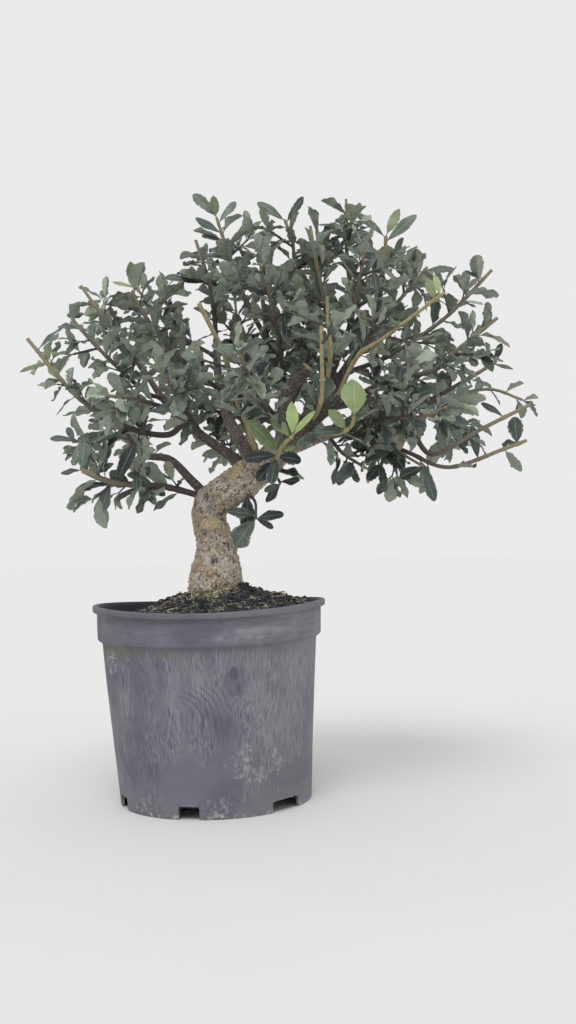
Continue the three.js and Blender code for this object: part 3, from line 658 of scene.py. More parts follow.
print("nodes so far:", len(start.tree.nodes))

# %% [markdown]
# The strokes are noise whose place is squeezed upright, which draws each speck out to a line. They
# come in groups, light ones and dark ones, and stop at the foot, at the collar and at the smooth
# patch.

# %% Brush strokes
FOOT_BAND = (0.012, 0.03)
COLLAR_BAND = (0.145, 0.151)
PALE_SIDE = (0.03, 0.075)
UPRIGHT_SQUEEZE = (1.0, 1.0, 0.03)
SWAY = (0.009, 0.009, 0.0)

sway = place.noise(14, 2) - 0.5
brushed = place * UPRIGHT_SQUEEZE + sway * SWAY
fine = brushed.noise(1300, 4, 0.65)
strokes = fine.step(0.42, 0.64)
groups = brushed.noise(70, 3, 0.5).step(0.38, 0.62)
cloud = place.noise(20, 4, 0.6).step(0.35, 0.68)
smooth = patch((-8, 33), (42, 22), 2.0).math("MAXIMUM", patch((74, 33), (26, 12), 1.6))
rough_wall = height.step(*FOOT_BAND) * (1 - height.step(*COLLAR_BAND)) * (1 - smooth)
shade = (0.7 * cloud).mix(POT_GREY, POT_DARK)
shade = (0.3 * place.part("X").step(*PALE_SIDE)).mix(shade, POT_CHALK)
shade = (strokes * (0.15 + 0.5 * groups) * (0.2 + 0.8 * rough_wall)).mix(shade, POT_CHALK)
shade = ((1 - fine.step(0.36, 0.46)) * (0.3 + groups) * rough_wall * 0.85).mix(shade, POT_DARK)
shade = (0.5 * smooth).mix(shade, POT_VIOLET)
print("nodes so far:", len(start.tree.nodes))

# %% [markdown]
# The curved strokes are rings round one centre: the fraction of the distance, counted in gaps, is near
# one half on each line. Below the collar, and on the left more than on the right, hangs the tide.

# %% Curved strokes, stains and tide
ARC_CENTRE = (-0.031, 0, 0.08)
ARC_GAP = 0.0052
ARC_WANDER = 0.008
SWEPT_BAND = (0.149, 0.153)
TIDE_HEIGHT = 0.147
TIDE_HALF = 0.009
TIDE_SIDE = (-0.04, 0.0)

upright = place * (1.0, 0.0, 1.0)
ring = place.add("ShaderNodeVectorMath", {"operation": "DISTANCE"}, {0: upright, 1: ARC_CENTRE}, 1)
ring = ring + ARC_WANDER * (place.noise(22, 2) - 0.5)
arcs = abs((ring * (1 / ARC_GAP)).math("FRACT") - 0.5)
arcs = (1 - arcs.step(0.02, 0.13)) * patch((0, 98), (26, 22), 1.2) * ring.step(0.02, 0.026)
shade = (0.85 * arcs).mix(shade, POT_SPOT)
shade = (0.35 * patch((25, 122), (11, 14), 1.5)).mix(shade, POT_SPOT)
shade = (0.7 * patch((24, 129), (5, 7), 2.4)).mix(shade, POT_SPOT)
smear = patch((44, 162), (30, 8), 2.2) * place.noise(70, 6, 0.75).step(0.42, 0.62)
shade = (0.55 * smear).mix(shade, POT_CHALK)
swept = (place * (0.1, 0.1, 1.0)).noise(260, 4, 0.6).step(0.4, 0.7)
shade = (0.5 * swept * height.step(*SWEPT_BAND)).mix(shade, POT_DARK)
tide = (1 - abs(height - TIDE_HEIGHT).step(0.0, TIDE_HALF)) * place.noise(60, 4).step(0.4, 0.62)
shade = (tide * (0.25 + 0.45 * (1 - place.part("X").step(*TIDE_SIDE)))).mix(shade, POT_TIDE)
print("nodes so far:", len(start.tree.nodes))

# %% [markdown]
# Lime is a rough crust, so it feeds the bump as well as the colour.

# %% Lime and lip
LIP_BAND = (0.1765, 0.179)
SPLASH_BAND = (0.003, 0.03)
FOOT_LINE = (0.001, 0.006)

crust = place.noise(170, 6, 0.75).step(0.48, 0.62)
lime = patch((42, 46), (25, 20)) * 0.5 + patch((-90, 136), (8, 12), 1.0) * 0.7
lime += (1 - height.step(*SPLASH_BAND)) * place.noise(40, 3).step(0.45, 0.65) * 0.6
lime += (1 - height.step(*FOOT_LINE)) * 0.5
shade = (crust * lime).mix(shade, POT_LIME)
lip = height.step(*LIP_BAND)
shade = (0.4 * lip).mix(shade, POT_LIP)
pot_height = 0.5 * fine * rough_wall + 0.35 * place.noise(300, 5) + 0.6 * crust * lime - 0.5 * arcs
finish(start, shade, roughness=0.64 + 0.2 * cloud, height=pot_height, depth=0.14)

# %% [markdown]
# The inside of the wall is darker and even, a painted shade: the inside of the pot lies in shadow.
# Its faces are found by their normals, which point to the axis.

# %% Inside of the pot
INWARD = -0.3
ABOVE_FLOOR = 0.02

# Painted shade: the inside of the pot takes a darker colour for the shadow that falls in it.
inside_shade_material, start = new_material("pot_inside")
place = start.place()
dust = place.noise(200, 5, 0.7)
finish(start, dust.step(0.5, 0.75).mix(POT_INSIDE_SHADE, POT_DARK), roughness=0.6, height=dust, depth=0.1)

centres = points_of(pot_mesh, "polygons", "center")
facings = points_of(pot_mesh, "polygons", "normal")
inward = (centres[:, :2] * facings[:, :2]).sum(1) < INWARD * np.linalg.norm(centres[:, :2], axis=1)
inside = inward & (centres[:, 2] > ABOVE_FLOOR)
pot_mesh.polygons.foreach_set("material_index", inside.astype(np.int32))
pot = dress(bpy.data.objects.new("pot", pot_mesh), [pot_material, inside_shade_material])
print("pot triangles:", settle(pot, "pot", "pot"))

# %% [markdown]
# ## Wood: routes
# These are the stems of the tree, as points and thicknesses in millimetres: the trunk from its root
# end up to where it divides, then the limbs, each from its fork to its thin end.

# %% Trunk and limbs
TRUNK = (
    [(2, 2, 142), (2, 0, 168), (3, 0, 187), (5, 0, 211), (6, 0, 225), (6, 0, 237), (3, 0, 251),
     (0, 0, 263), (2, 0, 277), (14, -2, 288), (30, -4, 297), (46, -6, 308), (60, -6, 319),
     (74, -3, 334)],
    [15, 22, 26.5, 25, 21.5, 19, 17, 16.3, 17, 17, 16.8, 16, 14, 11],
)
LIMBS = {
    "left": (
        [(44, -4, 306), (31, -6, 317), (18, -8, 327), (-3, -16, 342), (-19, -20, 357), (-37, -22, 375),
         (-59, -12, 409)],
        [6, 5.5, 5, 4.5, 4, 3.4, 2.6],
    ),
    "left_low": (
        [(-2, 6, 286), (-18, 16, 303), (-39, 24, 324), (-66, 30, 330), (-82, 34, 351)],
        [5, 4.4, 3.8, 3.2, 2.6],
    ),
    "left_back": (
        [(48, -2, 310), (30, 20, 341), (20, 33, 361), (13, 42, 388), (9, 45, 414), (9, 45, 439)],
        [7, 6.4, 5.8, 5, 4.2, 3.4],
    ),
    "top": (
        [(69, 0, 326), (78, 5, 353), (75, 8, 382), (64, 8, 411), (59, 0, 439)],
        [8, 7, 6, 4.8, 3.6],
    ),
    "right_top": (
        [(74, 0, 331), (99, -5, 361), (124, 0, 389), (144, 5, 418), (161, 5, 437)],
        [8, 6.8, 5.4, 4.2, 3.2],
    ),
    "right": (
        [(72, -2, 328), (106, 0, 341), (139, 0, 348), (170, -2, 356), (204, 0, 372)],
        [9, 7.6, 6.2, 5, 3.4],
    ),
    "back": (
        [(68, 0, 327), (72, 28, 346), (66, 62, 362), (58, 95, 376)],
        [8.5, 7, 5.4, 3.8],
    ),
    "right_back": (
        [(95, -5, 357), (122, 30, 372), (156, 62, 380), (188, 88, 384)],
        [5.4, 5, 4.2, 3.2],
    ),
    "front": (
        [(72, -3, 330), (92, -32, 345), (112, -52, 358), (128, -66, 366)],
        [7.5, 6, 5, 3.8],
    ),
    "pruned_stub": (
        [(76, 0, 338), (74, -20, 366), (82, -28, 385), (98, -36, 402)],
        [7.5, 6.8, 6.5, 6.2],
    ),
}
print("limbs:", len(LIMBS))

# %% [markdown]
# ## Leafy shoots: routes
# Each shoot springs from inside the wood and runs out to its tip. Last year's strong shoots were cut
# back, so they end bare, in a pale round cut. Leaves that mark the outline at the front are listed
# after the route, each with the share of the route where it grows, its tip, its breadth and, where
# its green is young, how fresh it is.

# %% Shoots at the left
SHOOTS = []


def shoot(name, girth, route, *leaves, cut=0, step=8, size=1.0, bare=0.24, young=False):
    """Notes a shoot. cut is its bare end in millimetres, step the distance between its leaves."""
    marked_leaves = [(share, (x, y, z), breadth, sum(fresh)) for share, x, y, z, breadth, *fresh in leaves]
    SHOOTS.append({"name": name, "girth": girth, "route": route, "cut": cut, "step": step, "size": size,
                   "bare": bare, "young": young, "leaves": marked_leaves})


shoot("left_1", (3.2, 2.3), [(0, -4, 284), (-39, -25, 295), (-83, -45, 299), (-111, -55, 311)],
      (0.67, -117, -52, 295, 10), (0.7, -97, -42, 273, 12), (0.48, -86, -37, 284, 7),
      (0.48, -38, -26, 288, 10), (0.65, -65, -54, 332, 14), (0.88, -82, -59, 316, 7),
      (0.99, -131, -51, 309, 7), (1.0, -107, -58, 341, 14), (0.49, -53, -27, 314, 7))
shoot("left_2", (3.2, 1.7),
      [(-19, -20, 357), (-36, -30, 343), (-77, -30, 353), (-120, -25, 383), (-165, -22, 438)],
      (0.95, -130, -33, 450, 8), (0.9, -144, -30, 432, 9, 0.5), (0.9, -175, -19, 409, 6, 0.5),
      (0.89, -137, -26, 400, 8, 0.4), (0.82, -153, -16, 396, 9), cut=22)
shoot("left_3", (2.3, 1.3), [(-80, 34, 348), (-111, 50, 350), (-141, 62, 347)],
      (0.85, -161, 52, 352, 8), size=0.9)
shoot("left_4", (2.3, 1.4), [(-57, -13, 406), (-86, -20, 446), (-113, -25, 486)],
      (0.78, -119, -30, 469, 5), (0.78, -96, -19, 474, 6), cut=24)
shoot("left_5", (2.3, 1.4), [(-40, -21, 379), (-55, -34, 384), (-88, -52, 416), (-115, -66, 447)],
      (1.0, -103, -69, 451, 5), (1.0, -120, -58, 454, 4), size=0.85)
shoot("left_6", (2.2, 1.2), [(9, 45, 426), (-28, 52, 450), (-49, 55, 472), (-74, 60, 504)],
      (1.0, -76, 50, 526, 12, 0.7), (0.95, -65, 52, 518, 6, 0.9), (0.96, -54, 63, 512, 4),
      (0.97, -96, 57, 508, 5, 0.9))
shoot("left_7", (2.6, 1.3),
      [(13, 42, 389), (1, 20, 400), (-28, 5, 423), (-58, -2, 463), (-68, -5, 485)],
      (0.75, -86, -12, 475, 7))
shoot("left_8", (2.6, 1.6), [(9, 45, 436), (7, 42, 472), (3, 40, 501), (-9, 40, 543)],
      (0.82, -24, 48, 523, 7), (0.64, -39, 34, 509, 11), cut=12)
shoot("left_9", (3, 2.2),
      [(50, -6, 311), (41, -24, 346), (29, -32, 378), (21, -50, 413), (0, -65, 458)], cut=70)
print("shoots so far:", len(SHOOTS))

# %% [markdown]
# The highest shoots stand upright and end in a bud or a cut. They make the ragged top of the crown.

# %% Shoots at the top
shoot("top_1", (2.6, 1.3), [(59, 1, 436), (40, 5, 474), (27, 8, 513), (14, 5, 556)],
      (1.0, -8, 9, 581, 11, 0.15), (1.0, 12, 2, 576, 10, 0.4), (0.95, 33, 14, 575, 8),
      (0.88, -5, -4, 553, 8), (0.83, 0, 0, 537, 6))
shoot("top_2", (2.2, 1.5), [(64, 7, 414), (58, -18, 452), (57, -28, 490), (57, -30, 514)], cut=14)
shoot("top_3", (2.4, 1.2), [(65, 8, 408), (83, 25, 470), (88, 32, 530), (80, 34, 560)],
      (0.97, 54, 38, 580, 11, 0.1), (0.95, 99, 31, 581, 8))
shoot("top_4", (2.6, 1.5), [(124, 0, 389), (120, -5, 441), (110, -12, 498), (104, -14, 539)], cut=16)
shoot("top_5", (2.6, 1.5), [(70, 8, 396), (100, 24, 450), (112, 26, 514), (110, 26, 566)],
      (0.9, 134, 34, 553, 6), cut=18)
shoot("top_6", (2.5, 1.3), [(144, 5, 418), (142, 20, 485), (140, 24, 526), (141, 24, 575)],
      (0.9, 131, 14, 568, 6), (0.85, 152, 17, 564, 7), cut=8)
shoot("top_7", (2.6, 1.4), [(158, 5, 434), (167, 0, 460), (173, -8, 500), (176, -10, 529)],
      (0.99, 190, -6, 556, 10, 0.5), (0.93, 205, -13, 548, 11, 0.1), (0.98, 149, -2, 556, 9, 0.1),
      (0.76, 145, -19, 526, 9, 0.1))
print("shoots so far:", len(SHOOTS))

# %% [markdown]
# The shoots in front come towards the eye. Two short ones low in front are this year's, soft and
# bright.

# %% Shoots in front
shoot("front_1", (2.2, 1.5), [(108, -49, 356), (117, -78, 405), (115, -88, 433), (115, -95, 454)],
      cut=34)
shoot("front_2", (2.4, 1.6), [(98, -38, 349), (107, -92, 364), (108, -115, 402), (108, -120, 424)],
      cut=55)
shoot("front_3", (2.4, 1.4), [(119, -58, 361), (140, -72, 403), (165, -84, 419), (217, -100, 454)],
      (0.96, 202, -101, 467, 9, 0.7), (0.98, 211, -91, 473, 7, 1), cut=80)
shoot("front_4", (2.2, 1.4), [(61, -8, 317), (66, -50, 317), (72, -78, 326), (81, -90, 333)],
      (1.0, 82, -86, 365, 11, 1), (1.0, 100, -93, 356, 7, 1), (0.94, 62, -80, 353, 11, 0.5),
      (0.51, 43, -77, 349, 19, 0.45), (0.56, 83, -78, 325, 5, 0.9), (0.38, 89, -51, 316, 15),
      (0.34, 60, -54, 294, 13), (0.42, 36, -52, 319, 13), young=True)
shoot("front_5", (2.2, 1.4), [(88, -26, 342), (116, -64, 336), (132, -78, 340), (136, -86, 349)],
      (1.0, 137, -78, 385, 23, 0.75), (0.6, 114, -86, 356, 12, 0.6), (0.56, 101, -82, 337, 13),
      young=True)
shoot("front_6", (2.4, 1.3), [(126, -65, 365), (152, -72, 376), (180, -104, 392)])
shoot("front_7", (2.4, 1.3), [(82, -17, 338), (60, -66, 362), (45, -105, 385), (38, -125, 402)])
shoot("front_8", (2.4, 1.3), [(-3, -16, 342), (-18, -60, 368), (-32, -98, 392)])
shoot("front_9", (2.2, 1.3), [(-28, -21, 366), (-56, -64, 372), (-78, -100, 372)])
shoot("front_10", (2.5, 1.3), [(136, 0, 348), (165, -45, 350), (195, -90, 347), (214, -116, 352)])
shoot("front_11", (2.5, 1.3), [(112, -3, 376), (134, -36, 430), (146, -64, 475), (150, -76, 500)])
shoot("front_12", (2.5, 1.3), [(76, 8, 378), (72, -35, 425), (64, -66, 462), (58, -80, 490)])
print("shoots so far:", len(SHOOTS))

# %% [markdown]
# The shoots at the right are long and thin, with few leaves, so the sky shows between them.

# %% Shoots at the right
shoot("right_1", (2.5, 1.6),
      [(132, 2, 400), (168, 8, 413), (197, 5, 428), (236, 3, 455), (277, -2, 495)],
      (0.96, 250, -11, 493, 5), (0.87, 242, -6, 487, 5), (0.82, 262, 6, 462, 5), cut=14)
shoot("right_2", (2.2, 1.4), [(154, 5, 430), (185, 48, 470), (207, 60, 496), (224, 68, 516)],
      (0.95, 251, 60, 511, 10), (0.6, 216, 62, 520, 7), cut=10)
shoot("right_3", (2.6, 1.6),
      [(170, -2, 356), (179, -18, 386), (217, -32, 397), (237, -38, 414), (273, -44, 441)],
      (0.89, 267, -44, 444, 7), (0.84, 263, -32, 418, 6), cut=14)
shoot("right_4", (2.6, 1.5), [(202, 0, 371), (220, 2, 375), (264, 10, 399), (282, 14, 410)],
      (0.96, 285, 4, 425, 7), (0.89, 296, 6, 401, 6), step=24, size=0.8, bare=0.35)
shoot("right_5", (2.3, 1.2), [(188, -1, 364), (215, 30, 372), (276, 48, 387), (314, 54, 376)],
      step=15, size=0.75)
shoot("right_6", (2.8, 1.8),
      [(182, -1, 362), (197, -18, 335), (213, -30, 318), (253, -40, 338), (300, -50, 360)],
      (0.88, 257, -41, 365, 7), cut=40, step=24, size=0.8, bare=0.45)
shoot("right_7", (2.6, 1.7),
      [(158, -1, 353), (178, 10, 332), (196, 12, 322), (233, 14, 308), (288, 24, 325), (311, 28, 333)],
      (0.9, 299, 23, 356, 15), (0.92, 288, 35, 332, 12), (0.7, 256, 9, 345, 11),
      (0.45, 217, 5, 276, 12), cut=14, step=26, size=0.85, bare=0.4)
print("shoots so far:", len(SHOOTS))

# %% [markdown]
# A few weak shoots hang low, below the bend of the trunk and below the limbs.

# %% Shoots low down
shoot("low_1", (1.7, 1.1), [(30, -6, 292), (44, -20, 280), (45, -26, 263)],
      (1.0, 24, -25, 238, 22), (1.0, 71, -29, 267, 12), (1.0, 62, -18, 254, 7),
      (0.9, 19, -35, 271, 12), step=60)
shoot("low_2", (1.5, 1), [(56, -6, 314), (66, -14, 301), (69, -18, 295)],
      (0.8, 87, -25, 298, 10), (1.0, 54, -24, 289, 7), (1.0, 55, -26, 279, 9), step=60)
shoot("low_3", (1.9, 1.2), [(115, 0, 342), (128, -22, 322), (150, -40, 305)])
shoot("low_4", (2, 1.2), [(148, -1, 350), (172, -26, 327), (202, -36, 306)],
      (1.0, 179, -39, 298, 13))
shoot("low_5", (1.9, 1.3), [(165, -1, 354), (171, -12, 334), (164, -16, 309)],
      (0.96, 151, -8, 297, 13), (0.96, 165, -26, 291, 8))
print("shoots so far:", len(SHOOTS))

# %% [markdown]
# The back of the crown can't be seen from the front. These shoots follow the habit of the others.

# %% Shoots at the back
shoot("back_1", (2.6, 1.3), [(59, 92, 375), (50, 125, 400), (45, 150, 440)])
shoot("back_2", (2.6, 1.3), [(66, 62, 362), (30, 95, 372), (-10, 128, 385), (-35, 145, 400)])
shoot("back_3", (2.5, 1.3), [(63, 74, 367), (85, 102, 395), (98, 130, 430), (105, 145, 468)])
shoot("back_4", (2.4, 1.3), [(61, 84, 371), (76, 125, 366), (92, 165, 370)])
shoot("back_5", (2.5, 1.3), [(70, 40, 351), (42, 70, 400), (30, 90, 450), (26, 98, 495)])
shoot("back_6", (2.5, 1.3), [(70, 45, 354), (96, 62, 410), (106, 84, 465), (110, 94, 512)])
shoot("back_7", (2.5, 1.3), [(186, 86, 384), (212, 108, 405), (238, 122, 432)])
shoot("back_8", (2.4, 1.3), [(158, 63, 380), (176, 84, 420), (188, 100, 466)])
shoot("back_9", (2.4, 1.3), [(148, 55, 378), (164, 98, 362), (178, 140, 352)])
shoot("back_10", (2.4, 1.3), [(180, 82, 383), (222, 92, 368), (262, 100, 358)])
shoot("back_11", (2.5, 1.3), [(12, 42, 396), (-20, 78, 410), (-48, 104, 430), (-68, 118, 456)])
shoot("back_12", (2.4, 1.3), [(-50, 27, 327), (-72, 70, 338), (-96, 104, 352)])
shoot("back_13", (2.3, 1.3), [(60, 88, 373), (30, 118, 350), (6, 146, 336)])
print("shoots in all:", len(SHOOTS))

# %% [markdown]
# ## Wood: one skin over all stems
# Where limbs meet the trunk the bark runs over from one to the other. Tubes pushed into each other
# would show a hard seam there, so we gather all tubes in one mesh and let a voxel remesh wrap one
# skin round them. First comes a stem as a closed tube.

# %% Stems as closed tubes
STEM_SIDE = (0.31, 0.17, 0.05)


def ring_frames(forwards):
    """Two directions across a stem at each of its points, carried along so that they don't twist."""
    side = unit(np.cross(STEM_SIDE, forwards[0]))
    sides = []
    for forward in forwards:
        side = unit(side - forward * side.dot(forward))
        sides.append(side)
    return np.array(sides), np.cross(forwards, sides)


def add_stem(build, points, forwards, radii, around, slot=0, **values):
    """Adds a closed stem. radii has a row for each point, and values has a row of numbers for each point."""
    turns = 2 * np.pi * np.arange(around) / around
    sides, across = ring_frames(forwards)
    radii = np.broadcast_to(np.reshape(radii, (len(points), -1)), (len(points), around))
    out = np.cos(turns)[:, None] * sides[:, None] + np.sin(turns)[:, None] * across[:, None]
    rings = (points[:, None] + out * radii[:, :, None]).reshape(-1, 3)
    quads, first, last = tube_faces(len(points), around)
    spread = {n: np.vstack([np.repeat(v, around, axis=0), v[:1], v[-1:]]) for n, v in values.items()}
    build.add(np.vstack([rings, points[:1], points[-1:]]), quads, slot, **spread)
    build.more_faces(first, len(rings) + 2, slot)
    build.more_faces(last, len(rings) + 2, slot, 1.0)


sample = Build()
add_stem(sample, *walk([(0, 0, 0), (0, 0, 10)], 4), np.full(5, 2.0), 6)
print("points of a short stem:", sample.count)

# %% [markdown]
# Each stem is kept as samples a few millimetres apart. They later tell how far any point lies from
# the wood, which keeps leaves out of it.

# %% Sampled stems
STEM_SPACING = 1.5
SHOOT_SPACING = 1.0


class Stem:
    """A sampled stem: places every few millimetres with its thickness there."""

    def __init__(self, route, girth, spacing=STEM_SPACING):
        length = reach_of(walk(route, 200)[0])[-1]
        steps = max(4, round(length / spacing))
        self.points, self.forwards = walk(route, steps)
        self.sides, self.across = ring_frames(self.forwards)
        self.girth = along(girth, np.arange(steps + 1) / steps)
        self.reach = reach_of(self.points)

    def outside(self, points):
        """How far points lie outside the stem, and which sample of it is nearest."""
        gaps = np.linalg.norm(points[:, None] - self.points[None], axis=2)
        nearest = gaps.argmin(1)
        return gaps[np.arange(len(points)), nearest] - self.girth[nearest], nearest


wood_stems = {name: Stem(*limb) for name, limb in ({"trunk": TRUNK} | LIMBS).items()}


def outside_wood(points):
    """How far points lie outside the nearest wood."""
    return np.min([stem.outside(points)[0] for stem in wood_stems.values()], axis=0)


print("wood length in mm:", round(sum(stem.reach[-1] for stem in wood_stems.values())))

# %% [markdown]
# A short collar at the foot of each shoot goes under the skin too, because bark swells where a shoot
# leaves it.

# %% Wrap the skin
VOXEL = 1.02
TRUNK_SIDES = 24
COLLAR_SIDES = 12
COLLAR_REACH = 5
COLLAR_SWELL = 1.45
COLLAR_END = 0.9

tubes = Build()
for stem in wood_stems.values():
    add_stem(tubes, stem.points, stem.forwards, stem.girth, TRUNK_SIDES)
for branch in SHOOTS:
    stem = Stem(branch["route"], branch["girth"], SHOOT_SPACING)
    bare = int(np.argmax(outside_wood(stem.points) > 0))
    last = bare + COLLAR_REACH + 1
    fade = np.clip((np.arange(last) - bare) / COLLAR_REACH, 0, 1)
    swollen = stem.girth[:last] * (COLLAR_SWELL + (COLLAR_END - COLLAR_SWELL) * fade)
    add_stem(tubes, stem.points[:last], stem.forwards[:last], swollen, COLLAR_SIDES)
wood = tubes.piece("wood_raw", [])
wrap = wood.modifiers.new("wrap", "REMESH")
wrap.mode = "VOXEL"
wrap.voxel_size = VOXEL * MM
smooth = wood.modifiers.new("smooth", "SMOOTH")
smooth.iterations = 3
wood_mesh = baked_mesh(wood)
print("skin points:", len(wood_mesh.vertices))

# %% [markdown]
# ## Wood: cork
# Young cork is a crust of small corky flakes, a little longer than wide, with ragged straw-coloured
# edges. A bump map alone would leave the outline smooth, so the flakes are real relief: each point of
# the skin is moved along its normal by a pattern of cells that is stretched along its stem.

# %% Pattern of the cork
PLATE_LONG = 1.5
PLATE_EDGE = 0.42
WANDER = 0.9


def soft_step(low, high, x):
    """0 below low, 1 above high, and a smooth rise between."""
    t = np.clip((x - low) / (high - low), 0, 1)
    return t * t * (3 - 2 * t)


def cork(places):
    """Plate height from 0 in a crack to 1 on a plate, and a ragged part from -1 to 1, at rows of places."""
    plates = np.empty(len(places))
    ragged = np.empty(len(places))
    for i, (x, y, z) in enumerate(places.tolist()):
        wander = WANDER * noise.noise(Vector((0.7 * x + 7, 0.7 * y, 0.7 * z)))
        near = noise.voronoi(Vector((x + wander, y - wander, z / PLATE_LONG + wander)))[0]
        plates[i] = near[1] - near[0]
        ragged[i] = noise.fractal(Vector((1.5 * x, 1.5 * y, 0.9 * z)), 0.6, 2.0, 4)
    return soft_step(0.0, PLATE_EDGE, plates), ragged


print("cork at the origin:", [round(float(part[0]), 2) for part in cork(np.zeros((1, 3)))])

# %% [markdown]
# Thin limbs have smooth bark, so the relief fades with the girth. Where two stems meet, their
# patterns blend. Broad lumps and smaller knobs go over everything that is thick.

# %% Relief of the bark
PLATE_ROUND = 3.6
CRACK_DEPTH = 1.0
RAGGED = 0.85
LUMP = 1.4
LUMP_SIZE = 13
KNOB = 0.9
KNOB_SIZE = 5.5
SMOOTH_GIRTH = 4.5
FULL_GIRTH = 15
BLEND = 3.5

skin = points_of(wood_mesh) / MM
normals = points_of(wood_mesh, "vertex_normals", "vector")
lift = np.zeros(len(skin))
tone = np.zeros(len(skin))
weights = np.full(len(skin), 1e-6)
girths = np.zeros(len(skin))
for stem in wood_stems.values():
    low = (stem.points - stem.girth[:, None]).min(0) - BLEND
    high = (stem.points + stem.girth[:, None]).max(0) + BLEND
    near = np.flatnonzero(((skin > low) & (skin < high)).all(1))
    gap, sample = stem.outside(skin[near])
    near, gap, sample = near[gap < BLEND], gap[gap < BLEND], sample[gap < BLEND]
    offset = skin[near] - stem.points[sample]
    angle = np.arctan2((offset * stem.across[sample]).sum(1), (offset * stem.sides[sample]).sum(1))
    reach = stem.reach[sample] + (offset * stem.forwards[sample]).sum(1)
    girth = stem.girth[sample]
    places = np.stack([girth * np.cos(angle), girth * np.sin(angle), reach], 1) / PLATE_ROUND
    plates, ragged = cork(places)
    strength = soft_step(SMOOTH_GIRTH - 2, FULL_GIRTH, girth)
    share = (1 - np.clip(np.abs(gap) / BLEND, 0, 1)) ** 2 + 1e-3
    relief = strength * (CRACK_DEPTH * (plates - 0.7) + RAGGED * ragged)
    relief += (0.12 + 0.1 * strength) * ragged
    lift[near] += share * relief
    tone[near] += share * (strength * (plates - 0.5) + 0.35 * ragged)
    girths[near] += share * girth
    weights[near] += share
lift /= weights
tone /= weights
girths /= weights
lumps = np.array([noise.noise(Vector(p)) for p in (skin / LUMP_SIZE).tolist()])
knobs = np.array([noise.noise(Vector(p)) for p in (skin / KNOB_SIZE).tolist()])
lift += (LUMP * lumps + KNOB * knobs) * soft_step(SMOOTH_GIRTH, FULL_GIRTH, girths)
print("relief from", round(lift.min(), 2), "to", round(lift.max(), 2), "mm")

# %% [markdown]
# Old cuts have healed into flat tan ovals with a raised rim. The stub of a thick limb ends in a flat
# cut too.

# %% Cut scars
SCARS = [
    {"at": (1.4, -15, 260), "along": (1, 0, 0.05), "half": (9.5, 6.0)},
    {"at": (27, -19, 307), "along": (0.62, 0, 0.78), "half": (11, 5)},
]
SCAR_DEPTH = 12
SCAR_SINK = 0.8
SCAR_RIM = 1.2
STUB_TONE = 0.6

scar = np.zeros(len(skin))
for spot in SCARS:
    offset = skin - spot["at"]
    run = unit(np.array(spot["along"], float))
    rise = np.array([-run[2], 0, run[0]])
    oval = np.hypot(offset @ run / spot["half"][0], offset @ rise / spot["half"][1]) + 0.18 * lumps
    near = np.abs(offset[:, 1]) < SCAR_DEPTH
    inside = near * (1 - soft_step(0.8, 1.0, oval))
    rim = near * np.exp(-(((oval - 1.12) / 0.14) ** 2))
    lift = lift * (1 - inside) + rim * SCAR_RIM - inside * SCAR_SINK
    scar = np.maximum(scar, inside)
stub = wood_stems["pruned_stub"]
beyond = (skin - stub.points[-1]) @ stub.forwards[-1]
stub_cut = (beyond > -1.2) & (np.linalg.norm(skin - stub.points[-1], axis=1) < stub.girth[-1] + 1)
scar = np.maximum(scar, STUB_TONE * stub_cut)

wood_mesh.vertices.foreach_set("co", ((skin + normals * lift[:, None]) * MM).ravel())
wood_mesh.update()
bark_values = np.stack([0.5 + 0.5 * np.clip(tone, -1, 1), girths / FULL_GIRTH, scar], 1)
wood_mesh.attributes.new("bark", "FLOAT_VECTOR", "POINT").data.foreach_set("vector", bark_values.ravel())
print("points in scars:", int((scar > 0.5).sum()))

# %% [markdown]
# ## Wood: finish
# On the trunk the flakes are light grey with a touch of violet, the hollows brown and the frayed
# edges straw. Loose fibres curl on the underside of the bend. They are thin lines where a noise
# passes its middle value. Thin limbs are a dull purple brown. The attribute that came with the relief
# tells the shader which is which.

# %% Bark material
CORK_GREY = rgb(180, 174, 168)
CORK_VIOLET = rgb(138, 133, 135)
CORK_WARM = rgb(160, 144, 122)
CORK_STRAW = rgb(228, 214, 182)
CORK_CRACK = rgb(78, 68, 62)
CORK_RUST = rgb(158, 116, 76)
LIMB_BROWN = rgb(104, 95, 90)
LIMB_DARK = rgb(60, 54, 56)
LIMB_GREY = rgb(146, 137, 128)
SCAR_TAN = rgb(204, 190, 156)
SCAR_BROWN = rgb(156, 134, 102)
LICHEN = rgb(136, 142, 112)

bark_material, start = new_material("cork_bark")
place = start.place()
bark = start.attribute("bark")
relief, thickness, scar_mask = (bark.part(axis) for axis in "XYZ")
grain = place.noise(420, 6, 0.65)
plate = place.noise(60, 4, 0.6).step(0.4, 0.62).mix(CORK_GREY, CORK_WARM)
plate = (0.9 * place.noise(90, 4, 0.65, 0.6).step(0.5, 0.58)).mix(plate, CORK_VIOLET)
plate = place.noise(800, 4, 0.7).step(0.56, 0.68).mix(plate, CORK_STRAW)
worn = relief + (grain - 0.5) * 0.7
cork_shade = (worn + 0.9 * (place.noise(120, 3) - 0.5)).step(0.12, 0.42).mix(CORK_CRACK, plate)
flakes = worn.step(0.4, 0.5) * (1 - worn.step(0.52, 0.66)) * place.noise(150, 3).step(0.42, 0.6)
cork_shade = (0.85 * flakes).mix(cork_shade, CORK_STRAW)
print("nodes so far:", len(start.tree.nodes))

# %% [markdown]
# Height and side tell where the curls hang: at the foot of the trunk and under the bend. One rust
# streak runs up the left of the foot, and lichen dusts the rest.

# %% Curls, rust and lichen
TRUNK_FOOT = (0.2, 0.235)
BEND_SLOPE = 0.6
BEND_LINE = (0.276, 0.29)
BEND_SIDE = (0.012, 0.03)
RUST_HEIGHT = 0.216
RUST_HALF = (0.006, 0.016)
RUST_WIDTH = (0.001, 0.005)

